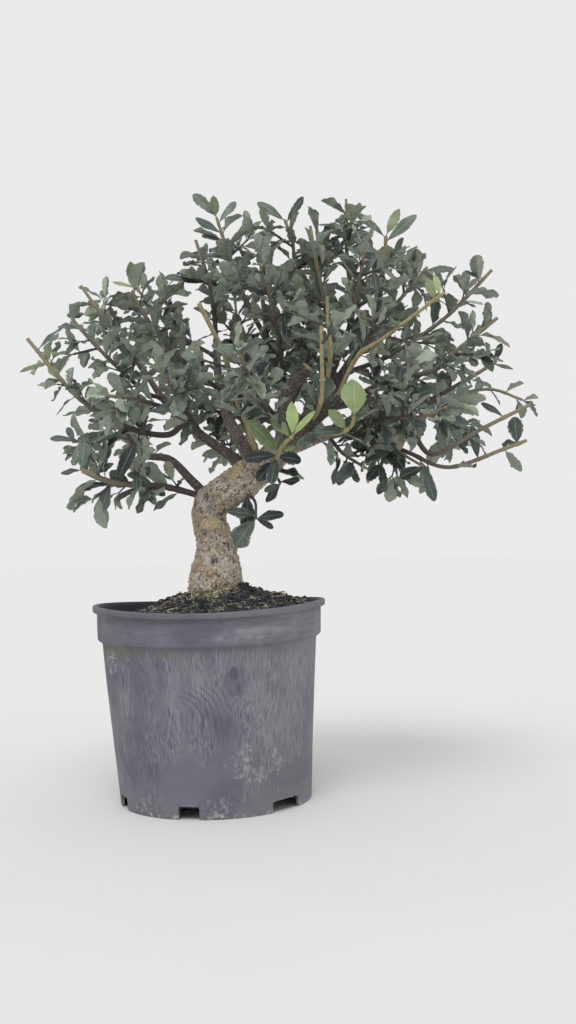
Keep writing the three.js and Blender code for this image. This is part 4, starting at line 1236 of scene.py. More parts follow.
low_trunk = 1 - place.part("Z").step(*TRUNK_FOOT)
above_bend = (place.part("Z") - place.part("X") * BEND_SLOPE).step(*BEND_LINE)
under_bend = place.part("X").step(*BEND_SIDE) * (1 - above_bend)
curls = 1 - abs((place * (1.0, 1.0, 0.7)).noise(260, 2, 0.5, 1.6) - 0.5).step(0.004, 0.022)
cork_shade = (curls * (0.25 + 0.5 * low_trunk + 0.55 * under_bend)).mix(cork_shade, CORK_STRAW)
rust = 1 - abs(place.part("X") + 0.0125 - 0.49 * (place.part("Z") - 0.2155)).step(*RUST_WIDTH)
rust = rust * (1 - abs(place.part("Z") - RUST_HEIGHT).step(*RUST_HALF)) * place.noise(130, 3).step(0.38, 0.6)
cork_shade = (0.75 * rust).mix(cork_shade, CORK_RUST)
cork_shade = (0.3 * place.noise(45, 3).step(0.55, 0.7)).mix(cork_shade, LICHEN)
print("nodes so far:", len(start.tree.nodes))

# %% [markdown]
# The bark changes from limb to cork with the thickness, and the scars lie on top.

# %% Limbs and scars
limb_shade = grain.step(0.3, 0.7).mix(LIMB_DARK, LIMB_BROWN)
limb_shade = (place.noise(260, 3).step(0.56, 0.72) * 0.7).mix(limb_shade, LIMB_GREY)
shade = (thickness + (grain - 0.5) * 0.25).step(0.34, 0.7).mix(limb_shade, cork_shade)
scar_shade = place.noise(380, 5, 0.75).step(0.35, 0.65).mix(SCAR_BROWN, SCAR_TAN)
scar_shade = (0.6 * place.noise(90, 3).step(0.5, 0.65)).mix(scar_shade, CORK_GREY)
shade = scar_mask.step(0.15, 0.75).mix((scar_mask.step(0.02, 0.1) * 0.5).mix(shade, LICHEN), scar_shade)
finish(start, shade, roughness=0.88, height=grain + 0.6 * place.noise(1300, 3), depth=0.5)

wood = dress(bpy.data.objects.new("trunk_and_limbs_bark", wood_mesh), [bark_material])
print("wood triangles:", settle(wood, "bark", "trunk_and_limbs"))

# %% [markdown]
# ## Soil: shape
# The mix is dark peat with fine bark. Its surface is heaped round the trunk, low along the left wall
# of the pot and up to the rim at the right. The lathe turns the body, and rough noise breaks up its
# top.

# %% Ground
SOIL_EDGE_LEVEL = 171.5
SOIL_CROWN_LEVEL = 198
SOIL_CROWN_RADIUS = 72
SOIL_CROWN_X = 6
SOIL_TILT = 0.06
CLOD_SIZE = 6
CLOD_HEIGHT = 2.1
CALM_EDGE = 4
GAP = 0.3
GROUND_RINGS = 84
GROUND_SEGMENTS = 220


def soil_level(x, y):
    """Height of the soil: a heap round the trunk, higher to the right, with a few lumps."""
    heap = np.exp(-((np.hypot(x - SOIL_CROWN_X, y) / SOIL_CROWN_RADIUS) ** 2))
    lumps = 1.1 * np.sin(x * 0.13 + 1) * np.cos(y * 0.11) + 0.7 * np.sin(x * 0.31 - y * 0.27)
    return SOIL_EDGE_LEVEL + (SOIL_CROWN_LEVEL - SOIL_EDGE_LEVEL) * heap + SOIL_TILT * x + lumps


def roughen(points):
    """Lays the top of the ground at its level and breaks it up into clods."""
    x, y, z = points.T
    top = z > SOIL_EDGE_LEVEL - 1
    places = (points * top[:, None] / CLOD_SIZE).tolist()
    rough = np.array([noise.fractal(Vector(p), 0.8, 2.1, 4) for p in places])
    edge = np.clip((soil_edge - np.hypot(x, y)) / CALM_EDGE, 0, 1)
    z = np.where(top, soil_level(x, y) + edge * (CLOD_HEIGHT * rough + 0.6), z)
    return np.stack([x + lean(z), y, z], 1)


soil_bottom = FLOOR_RISE + WALL + GAP
soil_foot = FOOT_RADIUS - WALL - 0.4
soil_edge = BODY_TOP_RADIUS - WALL - 1.2
outline = [(0, soil_bottom), (soil_foot, soil_bottom)]
outline += [(soil_edge, body_top - 6), (soil_edge, SOIL_EDGE_LEVEL)]
outline += [(soil_edge * (1 - k / GROUND_RINGS), SOIL_EDGE_LEVEL) for k in range(1, GROUND_RINGS + 1)]
ground = Build()
lathe(ground, outline, GROUND_SEGMENTS, roughen)
print("ground points:", ground.count)

# %% [markdown]
# Soil is nearly black, with a touch of blue, where it is wet and deep, and grey where crumbs have
# dried.

# %% Soil material
SOIL_WET = rgb(36, 38, 47)
SOIL_DRY = rgb(90, 89, 92)
SOIL_FLECK = rgb(160, 150, 124)

soil_material, start = new_material("dark_soil")
place = start.place()
crumb = place.noise(520, 6, 0.7)
shade = crumb.step(0.42, 0.72).mix(SOIL_WET, SOIL_DRY)
shade = (place.noise(1100, 3).step(0.66, 0.72)).mix(shade, SOIL_FLECK)
finish(start, shade, roughness=0.92, height=crumb + 0.5 * place.noise(1500, 3), depth=1.2)
soil = ground.piece("soil_ground", [soil_material])
print("ground triangles:", settle(soil, "soil", "soil"))

# Crumbs are squashed and knobbly little solids, each from the same twenty-sided shape with its points
# moved. Most are strewn over the whole ground. A few hundred make up one loose clod at the right of
# the trunk's foot.

# %% Crumbs
CRUMBS = 2900
SMALLEST_CRUMB = 0.5
CRUMB_RANGE = 2.3
CLOD_CRUMBS = 300
CLOD_X, CLOD_Y = 33, -14
CLOD_HALF = 9
CLOD_RISE = 7
GOLD = (1 + 5**0.5) / 2


def icosahedron():
    """Twelve points and twenty faces."""
    rows = []
    for a in (-1, 1):
        for b in (-GOLD, GOLD):
            rows += [(0, a, b), (a, b, 0), (b, 0, a)]
    points = unit(np.array(rows))
    gaps = np.linalg.norm(points[:, None] - points[None], axis=2)
    joined = (gaps > 0.1) & (gaps < 1.2)
    faces = []
    for i in range(12):
        for j in range(i + 1, 12):
            for k in range(j + 1, 12):
                if joined[i, j] and joined[j, k] and joined[i, k]:
                    outward = np.cross(points[j] - points[i], points[k] - points[i]) @ points[i]
                    faces.append((i, j, k) if outward > 0 else (i, k, j))
    return points, np.array(faces)


ball, ball_faces = icosahedron()
rng = np.random.default_rng(11)
crumbs = Build()
for i in range(CRUMBS):
    spread = math.sqrt(rng.random()) * (soil_edge - 3)
    angle = 2 * math.pi * rng.random()
    size = SMALLEST_CRUMB + CRUMB_RANGE * rng.random() ** 2.4
    x, y = spread * math.cos(angle), spread * math.sin(angle)
    level = soil_level(x, y) + 0.4 + 0.5 * size
    if i < CLOD_CRUMBS:
        away = rng.normal(0, 0.5, 2)
        x, y = CLOD_X + CLOD_HALF * away[0], CLOD_Y + CLOD_HALF * away[1]
        level = soil_level(x, y) + CLOD_RISE * rng.random() * math.exp(-(away @ away))
    centre = np.array([x + lean(level), y, level])
    shape = ball * (1 + 0.35 * rng.standard_normal((12, 1))) * size * (1, 0.75 + 0.25 * rng.random(), 0.7)
    crumbs.add(shape + centre, ball_faces)
crumb_piece = crumbs.piece("soil_crumbs", [soil_material])
print("crumb triangles:", settle(crumb_piece, "soil"))

# %% [markdown]
# Fine roots and dry moss lie over the soil. A third of them gather close to the foot of the trunk, in
# front. Each is a thin bent strand with three sides, which is enough for something half a millimetre
# thick. A dry forked twig stands up at the right.

# %% Root fibres
FIBRES = 640
FIBRE_STEPS = 6
CLOSE_SHARE = 0.3
CLOSE_FROM, CLOSE_WIDTH = 25, 22
WIDE_FROM = 30
THINNEST = 0.16
DRY_TWIG = [
    ([(50, -12, 190), (60, -10, 192.5), (70, -8, 193.5)], (0.85, 0.6)),
    ([(52, -12, 190), (60, -14, 189.5), (67, -16, 189)], (0.6, 0.45)),
    ([(66, -9, 193), (69, -8, 190), (72, -9, 192)], (0.9, 0.9)),
    ([(60, -10, 192.5), (63, -13, 190), (67, -15, 189.5)], (0.6, 0.4)),
]

FIBRE_BROWN = rgb(120, 110, 90)
FIBRE_STRAW = rgb(212, 202, 172)

fibre_material, start = new_material("dry_fibre")
place = start.place()
shade = place.noise(150, 3).step(0.35, 0.65).mix(FIBRE_BROWN, FIBRE_STRAW)
finish(start, shade, roughness=0.85, height=place.noise(1500, 2), depth=0.1)

fibres = Build()
for i in range(FIBRES):
    close = i < CLOSE_SHARE * FIBRES
    if close:
        angle = -math.pi / 2 + rng.normal(0, 0.45)
        spread = CLOSE_FROM + CLOSE_WIDTH * rng.random() ** 1.5
    else:
        angle = 2 * math.pi * rng.random()
        spread = WIDE_FROM + math.sqrt(rng.random()) * (soil_edge - WIDE_FROM - 6)
    heading = 2 * math.pi * rng.random()
    bend = rng.normal(0, 0.5)
    length = 5 + 12 * rng.random()
    x, y = 3 + spread * math.cos(angle), spread * math.sin(angle)
    hop = (1.2 + 4 * rng.random() * close) * rng.random()
    centres = []
    for k in range(FIBRE_STEPS):
        t = k / (FIBRE_STEPS - 1)
        level = soil_level(x, y) + 1.4 + hop * math.sin(math.pi * t) + 0.6 * rng.random()
        centres.append((x + lean(level), y, level))
        heading += bend
        x += math.cos(heading) * length / FIBRE_STEPS
        y += math.sin(heading) * length / FIBRE_STEPS
        keep = min(1, (soil_edge - 2) / math.hypot(x, y))
        x, y = x * keep, y * keep
    centres = np.array(centres)
    forwards = unit(np.gradient(centres, axis=0))
    thick = THINNEST + 0.2 * rng.random() + 0.06 * close
    add_stem(fibres, centres, forwards, thick * np.linspace(1, 0.5, FIBRE_STEPS), 3)
for route, girth in DRY_TWIG:
    stem = Stem(route, girth)
    add_stem(fibres, stem.points, stem.forwards, stem.girth, 5)
fibre_piece = fibres.piece("soil_fibres", [fibre_material])
print("fibre triangles:", settle(fibre_piece, "soil"))

# %% [markdown]
# ## Leaves: shape
# A leaf of this oak is oval and blunt, with a short stalk, a rib that stands out below, an edge that
# rolls under and a few small teeth. Young ones are more pointed. Most are folded, rolled or waved.
# Each is a thin closed sheet on one grid of points, and top and underside share the points of the
# edge. The folds follow the same formula as the plain leaves.

# %% Leaf grid
GRID_U = np.array([0, 0.05, 0.1, 0.14, 0.2, 0.29, 0.38, 0.47, 0.56, 0.65, 0.74, 0.83, 0.91, 0.965, 1])
GRID_V = np.array([-0.5, -0.29, 0, 0.29, 0.5])


def leaf_faces():
    """Corner numbers of the top and the underside. Both share the points of the edge."""
    rows, columns = len(GRID_U), len(GRID_V)
    top = np.arange(rows * columns).reshape(rows, columns)
    under = top.copy()
    inner = np.arange((rows - 2) * (columns - 2)).reshape(rows - 2, columns - 2)
    under[1:-1, 1:-1] = rows * columns + inner
    quads = []
    for grid in (top, under):
        corners = [grid[:-1, :-1], grid[1:, :-1], grid[1:, 1:], grid[:-1, 1:]]
        quads.append(np.stack(corners, 2).reshape(-1, 4))
    return quads[0], quads[1][:, ::-1]


TOP_FACES, UNDER_FACES = leaf_faces()
print("triangles in a leaf:", 4 * len(TOP_FACES))

# %% [markdown]
# A shoot has dozens of leaves, so all of them are shaped in one go. The arrays have one axis for the
# leaf, one along the blade and one across it.

# %% Leaf form
WAVES = 9
STALK = 0.08
STALK_HALF = 0.5
STALK_THICK = 0.5
BLADE_THICK = 0.28
RIB_THICK = 0.28
EDGE_ROLL = 0.07
CROSS_SECTION = np.array([[0, 0.7, 1, 0.7, 0]])
RIB_SECTION = np.array([[0, 0, 1, 0, 0]])
TEETH = np.array([0, 0, 0, 0, 0.2, 1, -1, 1, -1, 1, -1, 1, -1, 0, 0])


def leaf_points(leaves):
    """Points of many leaves at once, with the numbers that their material reads."""

    def get(name):
        return np.array([leaf[name] for leaf in leaves], float)

    length, breadth = get("length")[:, None, None], get("breadth")[:, None, None]
    bends = ("fold", "curl", "wave", "phase", "twist", "crumple")
    fold, curl, wave, phase, twist, crumple = (get(name)[:, None, None] for name in bends)
    u = GRID_U[None, :, None] * np.ones((len(leaves), 1, len(GRID_V)))
    blade = np.clip((GRID_U - STALK) / (1 - STALK), 0.0015, 0.9985)
    broadest, blunt = get("broadest")[:, None, None], get("blunt")[:, None, None]
    half = np.sin(np.pi * blade[None, :, None] ** broadest) ** blunt
    half = half * (1 + get("teeth")[:, None, None] * TEETH[None, :, None])
    half = np.maximum(half, 2 * STALK_HALF / breadth * (GRID_U < 0.15)[None, :, None])
    v = GRID_V[None, None, :] * half
    lift = breadth * (np.abs(v) * (fold + wave * np.sin(WAVES * u + phase + np.sign(v))) + v * twist * u)
    lift = lift * soft_step(STALK, 0.3, u) - length * curl * u**2
    lift -= EDGE_ROLL * breadth * (2 * np.abs(v)) ** 5
    lift += crumple * breadth * np.sin(15 * u + 2.3 * phase) * (v + 0.2 * np.cos(11 * u + phase))
    thick = np.where(GRID_U < STALK + 0.02, STALK_THICK, BLADE_THICK)[:, None] * CROSS_SECTION
    rib = RIB_THICK * (1 - GRID_U)[:, None] * RIB_SECTION
    frames = [get(name)[:, None, None, :] for name in ("origin", "forward", "across", "face")]
    sheets = []
    for rise in (thick, -thick - rib):
        height = (lift + rise[None])[..., None]
        sheets.append(frames[0] + frames[1] * (length * u)[..., None] + frames[2] * (breadth * v)[..., None]
                      + frames[3] * height)
    count = len(leaves)
    points = [sheets[0].reshape(count, -1, 3), sheets[1][:, 1:-1, 1:-1].reshape(count, -1, 3)]
    points = np.concatenate(points, 1)
    flat = np.stack([u, 2 * np.broadcast_to(GRID_V, u.shape), 0 * u + get("seed")[:, None, None]], 3)
    flat = np.concatenate([flat.reshape(count, -1, 3), flat[:, 1:-1, 1:-1].reshape(count, -1, 3)], 1)
    tint = np.stack([get("tone"), get("fresh"), get("dry")], 1)[:, None] * np.ones((1, points.shape[1], 1))
    return points, flat, tint


print("teeth on each side:", int((TEETH > 0.5).sum()))

# %% [markdown]
# ## Leaves: where they grow
# Leaves stand one by one in a spiral of two fifths of a turn, and three close the tip. Each turns its
# face to the light as far as its place on the twig lets it. This rule and its draws are the solid
# model's own, so both grow the same plant.

# %% Seat of a leaf
SKY_WAY = np.array([0.0, 0, 1])
SIDEWAYS = np.array([1.0, 0, 0])


def facing(forward, wanted, roll):
    """Directions of a leaf that points forward and turns its face as far as it can to the wanted side."""
    face = unit(wanted - forward * wanted.dot(forward))
    across = np.cross(face, forward)
    turned = face * math.cos(roll) - across * math.sin(roll)
    return {"forward": forward, "face": turned, "across": np.cross(turned, forward)}


def leaf_at(point, forward, azimuth, spread, roll, seat=0.0):
    """Where a leaf sits: turned round its twig by azimuth and leaning away from it by spread."""
    level = unit(np.cross(forward, SIDEWAYS if abs(forward[2]) > 0.95 else SKY_WAY))
    out = level * math.cos(azimuth) + np.cross(level, forward) * math.sin(azimuth)
    ahead = unit(forward * math.cos(spread) + out * math.sin(spread))
    wanted = forward * 0.5 + SKY_WAY * 0.7 - out * 0.15
    return facing(ahead, wanted, roll) | {"origin": point + out * seat}


upright_leaf = leaf_at(np.zeros(3), SKY_WAY, 0, 1, 0)
print("a leaf of an upright twig points to", upright_leaf["forward"].round(2).tolist())

# %% [markdown]
# A marked leaf takes its place from the list and is calmer than the rest. Leaves deep in the crown and
# at its back get a darker tone, a painted shade for the shadow inside the crown and on its back, away
# from the sun. The draws of a leaf come in a fixed order: the solid model makes the same ones.

# %% Leaves of a twig
LEAF_LENGTH = 31
LEAF_BREADTH = 12.5
LEAF_STEP = 8
LEAF_TURN = math.radians(144)
ROOT_DEPTH = 0.8
FRONT = np.array([0, -0.8, 0.5])
# Centre and half sizes of the crown, for the painted shade of the leaves inside it.
CROWN_CENTRE = np.array([80, 20, 400])
CROWN_HALF = np.array([200, 140, 170])
BROADEST, YOUNG_BROADEST = 1.4, 1.1
BLUNT, YOUNG_BLUNT = 0.5, 0.75
POINTED_FRESH = 0.3
CRUMPLE = 0.24
CALM_CRUMPLE = 0.04
ROLLED = 1.9
OWN_TONE = 0.7
TWIG_STEPS = 40


def leaves_on(twig, seed):
    """The leaves of one twig, as on the solid model: its own ones, a spiral, and three at the tip."""
    points, forwards = walk(twig["route"], TWIG_STEPS)
    reach = reach_of(points)
    total = reach[-1]
    leaves = []

    def finish_leaf(leaf, draw, crumple, fresh):
        """Adds what the fine leaf has beyond the plain one: tone with painted shade, teeth, crumple and form
        of the blade.
        """
        # Painted shade: leaves deep in the crown, and at its back away from the sun, get a darker tone.
        depth = np.linalg.norm((leaf["origin"] - CROWN_CENTRE) / CROWN_HALF)
        shade = 0.4 + 0.6 * soft_step(0.3, 0.95, depth)
        shade *= 1 - 0.45 * soft_step(30, 90, leaf["origin"][1])
        leaf |= {"seed": (seed * 7.31 + len(leaves)) % 97, "fresh": fresh, "teeth": 0.08 * draw()}
        leaf |= {"tone": shade * draw(), "dry": draw(), "crumple": crumple * (0.3 + draw())}
        pointed = fresh > POINTED_FRESH
        leaf["broadest"] = YOUNG_BROADEST if pointed else BROADEST
        leaf["blunt"] = YOUNG_BLUNT if pointed else BLUNT
        leaves.append(leaf)

    for share, tip, breadth, fresh in twig["leaves"]:
        draw = draws(seed * 991 + len(leaves))
        base = points[round(share * TWIG_STEPS)]
        ahead = np.array(tip) - base
        leaf = {"origin": base, "length": np.linalg.norm(ahead), "breadth": breadth}
        leaf |= {"fold": 0.05 + 0.25 * draw(), "curl": 0.02 + 0.12 * draw(), "wave": 0.1 + 0.2 * draw()}
        leaf |= {"phase": 6 * draw(), "twist": 0.3 * (draw() - 0.5)}
        leaf |= facing(unit(ahead), FRONT, 0.6 * (draw() - 0.5))
        finish_leaf(leaf, draw, CALM_CRUMPLE, fresh)
        leaf["tone"] *= OWN_TONE
        leaf["dry"] = 0

    def put(distance, turn, tip):
        """Grows one leaf of the spiral, or one of the three at the tip."""
        draw = draws(seed * 997 + len(leaves))
        i = min(int(np.searchsorted(reach, distance)), TWIG_STEPS)
        azimuth = turn * LEAF_TURN + seed + 0.7 * (draw() - 0.5)
        spread = 0.25 + 0.5 * draw() if tip else 0.75 + 0.5 * draw()
        scale = twig["size"] * (0.64 + 0.34 * draw() if tip else 0.72 + 0.42 * draw())
        leaf = {"length": LEAF_LENGTH * scale, "breadth": LEAF_BREADTH * scale * (0.75 + 0.5 * draw())}
        leaf |= {"fold": ROLLED * (0.08 + 0.5 * draw() ** 2), "curl": 0.02 + 0.32 * draw() ** 2}
        leaf |= {"wave": 0.08 + 0.2 * draw(), "phase": 6 * draw(), "twist": 0.5 * (draw() - 0.5)}
        roll = 1.6 * (draw() - 0.5)
        seat = 0 if tip else along(twig["girth"], i / TWIG_STEPS) * 0.8 - ROOT_DEPTH
        leaf |= leaf_at(points[i], forwards[i], azimuth, spread, roll, seat)
        finish_leaf(leaf, draw, CRUMPLE, 0.12 * tip)

    distance = twig["bare"] * total
    while distance < total - 3 - twig["cut"]:
        put(distance, len(leaves), False)
        distance += twig["step"]
    if not twig["cut"] and not len(twig["leaves"]):
        for k in range(3):
            put(total - 0.8, k * 0.83, True)
    return leaves


print("leaves on the first shoot:", len(leaves_on(SHOOTS[0], 7)))

# %% [markdown]
# Short side twigs carry the same spiral on a smaller scale. The solid model has them too. The fine
# model adds still shorter spurs with small leaves, which fill the crown.

# %% Side twigs and spurs
LONG_SHOOT = 110
SIDE_TWIG_GIRTH = (1.3, 0.91)
SPUR_GIRTH = (0.8, 0.55)
SPUR_SIZE = 0.78
SPUR_SHORTEST = 8
SPUR_RANGE = 10
TIP_CLEARANCE = 12


def twig_from(point, end, girth, bare, size):
    """A short straight twig, with leaves all along."""
    return {"route": [point, end], "girth": girth, "bare": bare, "size": size, "cut": 0, "step": LEAF_STEP,
            "leaves": ()}


def side_twigs(branch, seed):
    """One or two short twigs on a shoot, as on the solid model."""
    route = branch["route"]
    points, forwards = walk(route, TWIG_STEPS)
    count = 2 if math.dist(route[0], route[-1]) > LONG_SHOOT else 1
    twigs = []
    for j in range(count):
        draw = draws(seed * 131 + j * 17 + 5)
        i = round(TWIG_STEPS * (0.36 + 0.46 * (j + 0.3 + 0.4 * draw()) / count))
        turn = j * 2.4 + seed * 1.7 + draw()
        ahead = leaf_at(points[i], forwards[i], turn, 0.85 + 0.25 * draw(), 0)["forward"]
        end = points[i] + ahead * (22 + 12 * draw())
        twigs.append(twig_from(points[i], end, SIDE_TWIG_GIRTH, 0.35, branch["size"]))
    return twigs


def spurs(twig, seed, step):
    """Short spurs between the leaves of a twig, about a step apart."""
    points, forwards = walk(twig["route"], TWIG_STEPS)
    reach = reach_of(points)
    made = []
    distance = twig["bare"] * reach[-1] * 0.8 + 6
    while distance < reach[-1] - TIP_CLEARANCE - twig["cut"]:
        draw = draws(seed * 71 + len(made) + 3)
        i = int(np.searchsorted(reach, distance))
        turn = len(made) * 2.2 + seed + draw()
        ahead = leaf_at(points[i], forwards[i], turn, 0.7 + 0.4 * draw(), 0)["forward"]
        end = points[i] + ahead * (SPUR_SHORTEST + SPUR_RANGE * draw())
        made.append(twig_from(points[i], end, SPUR_GIRTH, 0.3, SPUR_SIZE * twig["size"]))
        distance += step * (0.75 + 0.5 * draw())
    return made


long_way = {"route": [(0, 0, 0), (0, 0, 90)], "bare": 0.2, "cut": 0, "size": 1}
print("spurs on 90 mm of twig:", len(spurs(long_way, 1, 20)))

# %% [markdown]
# ## Leaves and twigs: finish
# Old leaves are a dull grey green with a waxy bloom, paler and felted below. New ones are yellow
# green. The rib is a pale line, and the side veins run from it at a slant. Twigs are olive when
# young, tan and then brown later.

# %% Leaf material
LEAF_DARK = rgb(44, 55, 57)
LEAF_MID = rgb(82, 98, 92)
LEAF_PALE = rgb(150, 161, 145)
LEAF_UNDER = rgb(152, 161, 147)
LEAF_FRESH = rgb(152, 164, 116)
LEAF_BRIGHT = rgb(150, 172, 108)
LEAF_FRESH_UNDER = rgb(180, 188, 148)
LEAF_DRY = rgb(150, 132, 96)
LEAF_RIB = rgb(168, 175, 146)
VEINS = 9
VEIN_SLANT = 2.2


def leaf_finish(name, fresh_top):
    """The finish of old leaves, or of young ones with another fresh colour."""
    material, start = new_material(name)
    blade = start.attribute("blade")
    tint = start.attribute("tint")
    under = start.attribute("mark", "Fac")
    u, across = blade.part("X"), abs(blade.part("Y"))
    place = start.place()
    mottle = place.noise(230, 4, 0.6)
    # The tone holds each leaf's random tone and the painted shade of its place in the crown.
    tone = tint.part("X") * 1.05 + (mottle - 0.5) * 0.6
    top = tone.step(0.1, 0.6).mix(LEAF_DARK, LEAF_MID)
    top = tone.step(0.6, 1.05).mix(top, LEAF_PALE)
    rim = across.step(0.72, 0.98) * place.noise(160, 2).step(0.4, 0.6)
    top = (0.5 * rim).mix(top, LEAF_PALE)
    fresh = tint.part("Y")
    top = fresh.mix(top, fresh_top * (0.75 + 0.5 * mottle))
    below = fresh.mix(LEAF_UNDER, LEAF_FRESH_UNDER) * (0.75 + 0.4 * mottle)
    slant = u * VEINS - across * VEIN_SLANT
    vein = (slant * (2 * math.pi)).math("SINE").step(0.72, 1.0)
    rib = 1 - across.step(0.03, 0.1)
    lines = rib.math("MAXIMUM", 0.35 * vein * (1 - across.step(0.6, 0.95)))
    shade = under.mix(top, below)
    shade = (lines * 0.5).mix(shade, under.mix(LEAF_RIB, LEAF_FRESH_UNDER))
    dead = tint.part("Z").step(0.94, 0.99) * (place.noise(140, 3) + 0.35 * across + 0.25 * u).step(0.75, 0.95)
    shade = (0.8 * dead).mix(shade, LEAF_DRY)
    roughness = under.mix(0.45, 0.85) + (mottle - 0.5) * 0.3
    finish(start, shade, roughness, height=place.noise(700, 3) * 0.5 - 0.8 * lines, depth=0.3)
    return material


leaf_material = leaf_finish("old_leaf", LEAF_FRESH)
young_leaf_material = leaf_finish("young_leaf", LEAF_BRIGHT)

# %% [markdown]
# The twig's material reads its age along the shoot, and the mark on the face of a cut.

# %% Twig material
TWIG_OLIVE = rgb(136, 130, 96)
TWIG_TAN = rgb(168, 155, 115)
TWIG_GREY = rgb(118, 110, 94)
TWIG_BROWN = rgb(80, 72, 70)
TWIG_DARK = rgb(54, 50, 54)
TWIG_CUT = rgb(205, 188, 146)

twig_material, start = new_material("twig_bark")
place = start.place()
stem_values = start.attribute("stem")
age = stem_values.part("X")
grain = (place * (1, 1, 0.5)).noise(380, 4, 0.6)
young_shade = grain.step(0.35, 0.65).mix(TWIG_OLIVE, TWIG_TAN)
old_shade = grain.step(0.35, 0.65).mix(TWIG_DARK, TWIG_BROWN)
old_shade = place.noise(900, 3).step(0.56, 0.7).mix(old_shade, TWIG_GREY)
shade = (age + (grain - 0.5) * 0.3).step(0.1, 0.45).mix(young_shade, TWIG_GREY)
shade = (age + (grain - 0.5) * 0.4).step(0.4, 0.8).mix(shade, old_shade)
shade = (start.attribute("mark", "Fac") * stem_values.part("Y")).mix(shade, TWIG_CUT)
finish(start, shade, roughness=0.75, height=grain, depth=0.3)

# %% [markdown]
# ## Leafy shoots
# Each shoot is one piece: its twigs with a swelling at every leaf, and its leaves. A leaf that would
# run into the wood, the soil or the pot is left out, and so is a leaf that would hide a marked leaf
# from the front.

# %% Leaves that are left out
MARKED_BREADTH = 11
MARKED_FRESH = 0.4
MARGIN = 3
OFF_WOOD = 0.6
OFF_POT = 5
OFF_SOIL = 8

marked = [(np.array([88.0, -30, 388]), np.array([98.0, -36, 402]), 12)]
for branch in SHOOTS:
    for share, tip, breadth, fresh in branch["leaves"]:
        if breadth > MARKED_BREADTH or fresh >= MARKED_FRESH:
            base = spline(branch["route"], np.array([share]))[0]
            marked.append((base, np.array(tip, float), breadth))


def hides_marked(leaf):
    """True where a leaf stands in front of a marked one."""
    spots = leaf["origin"] + leaf["forward"] * leaf["length"] * np.array([[0.3], [0.6], [1.0]])
    for base, tip, breadth in marked:
        run = (tip - base)[[0, 2]]
        offset = spots[:, [0, 2]] - base[[0, 2]]
        share = np.clip(offset @ run / (run @ run), 0, 1)
        gap = np.linalg.norm(offset - share[:, None] * run, axis=1)
        depth = base[1] + share * (tip[1] - base[1])
        if ((gap < 0.5 * breadth + MARGIN) & (spots[:, 1] < depth - 1)).any():
            return True
    return False


def clear(leaf):
    """True where a leaf keeps out of wood, soil and pot."""
    tip = leaf["origin"] + leaf["forward"] * leaf["length"] - leaf["face"] * leaf["length"] * leaf["curl"]
    spots = np.linspace(leaf["origin"], tip, 5)[2:]
    spots = np.vstack([spots, spots[:2] + leaf["across"] * 5, spots[:2] - leaf["across"] * 5])
    low = spots[:, 2].min()
    over_pot = np.hypot(spots[:, 0], spots[:, 1]).min() < LIP_RADIUS + OFF_POT
    return outside_wood(spots).min() > OFF_WOOD and (low > POT_HEIGHT + OFF_SOIL or not over_pot)


print("marked spots:", len(marked))

# %% [markdown]
# The cut shoots in front are last year's and still olive all along. All other twigs are brown at
# their foot and olive at their tip, by an age that runs from 1 to 0.

# %% One twig
MATURE = 0.27
KNOT = 0.22
KNOT_REACH = 2.2
THICKEST = 1.35
BUD = 0.45
LONG_TWIG = 60


def grow_twig(build, twig, leaves, cut, pale):
    """Adds one twig with a knot at each of its leaves, ending in a flat cut or in a bud."""
    length = math.dist(twig["route"][0], twig["route"][-1])
    stem = Stem(twig["route"], twig["girth"], 2.0 if length > 20 else 1.6)
    radii = stem.girth.copy()
    for leaf in leaves:
        gap = np.linalg.norm(stem.points - leaf["origin"], axis=1)
        radii += KNOT * stem.girth * np.exp(-((gap / KNOT_REACH) ** 2))
    radii = np.minimum(radii, THICKEST * stem.girth)
    if not cut:
        radii[-1] *= BUD
    outer = stem.reach / stem.reach[-1]
    fade = 0.9 if cut else 0.75 if length > LONG_TWIG else 0.4
    age = np.clip(1 - fade * outer - pale, 0 if pale else MATURE, 1)
    values = np.stack([age, np.full(len(age), float(cut)), stem.reach / 100], 1)
    add_stem(build, stem.points, stem.forwards, radii, 8 if length > 45 else 6, 1, stem=values)


print("a knot swells its twig by", round(100 * KNOT), "per cent")

# %% [markdown]
# Now every shoot grows: its own twig, its side twigs, then the spurs. Spurs are closer at the back,
# where no marked leaves fill the crown, and wider apart at the top and the right, where the sky shows
# through. Side twigs and spurs that have lost all their leaves are left out.

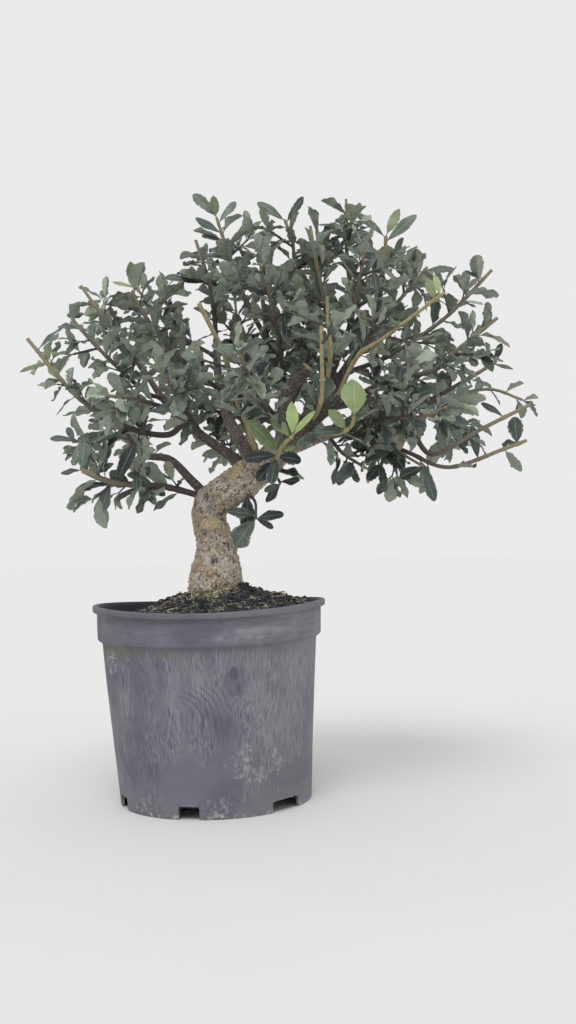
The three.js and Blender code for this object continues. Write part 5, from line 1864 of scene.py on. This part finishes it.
# %% Grow the shoots
PALE_SHOOTS = {"left_9": 1.0, "front_1": 1.0, "front_2": 1.0, "front_3": 1.0, "front_4": 0.9, "front_5": 0.9}
SPUR_STEP = 21
GROUP_SPUR_STEPS = {"back": 15, "top": 38, "right": 40}
# The last factor darkens the leaves of spurs, inside the crown, as painted shade.
SPUR_FOLD, SPUR_CRUMPLE, SPUR_SHADE = 1.6, 1.5, 0.8

leaf_total = 0
triangle_total = 0
for number, branch in enumerate(SHOOTS):
    seed = number + 1
    name, young = branch["name"], branch["young"]
    sparse = young or branch["step"] > LEAF_STEP
    twigs = [branch] + ([] if sparse else side_twigs(branch, seed))
    groups = [(twig, leaves_on(twig, seed * 7 + i)) for i, twig in enumerate(twigs)]
    spur_step = GROUP_SPUR_STEPS.get(name.split("_")[0], SPUR_STEP)
    for i, twig in enumerate([] if sparse else twigs):
        for j, spur in enumerate(spurs(twig, seed * 7 + i, spur_step)):
            groups.append((spur, leaves_on(spur, seed * 509 + i * 37 + j)))
    build = Build()
    kept = []
    for i, (twig, leaves) in enumerate(groups):
        own = len(twig["leaves"])
        free = [leaf for leaf in leaves[own:] if clear(leaf) and not hides_marked(leaf)]
        leaves = leaves[:own] + free
        if i and not leaves:
            continue
        if i >= len(twigs):
            for leaf in leaves:
                leaf["fold"] *= SPUR_FOLD
                leaf["crumple"] *= SPUR_CRUMPLE
                # Painted shade: leaves on spurs, inside the crown, get a darker tone.
                leaf["tone"] *= SPUR_SHADE
        pale = 0 if i else PALE_SHOOTS.get(name, 0)
        grow_twig(build, twig, leaves, twig["cut"] > 0, pale)
        kept += leaves
    points, blade, tint = leaf_points(kept)
    per_leaf = points.shape[1]
    starts = (np.arange(len(kept)) * per_leaf)[:, None, None]
    build.add(points.reshape(-1, 3), (TOP_FACES[None] + starts).reshape(-1, 4), 0, 0.0,
              blade=blade.reshape(-1, 3), tint=tint.reshape(-1, 3))
    build.more_faces((UNDER_FACES[None] + starts).reshape(-1, 4), len(kept) * per_leaf, 0, 1.0)
    material = young_leaf_material if young else leaf_material
    piece = build.piece(f"leafy_{name}", [material, twig_material])
    triangle_total += settle(piece, "young_leaf" if young else "leaf", f"shoot_{name}")
    leaf_total += len(kept)
print("leaves:", leaf_total, "triangles of all shoots:", triangle_total)
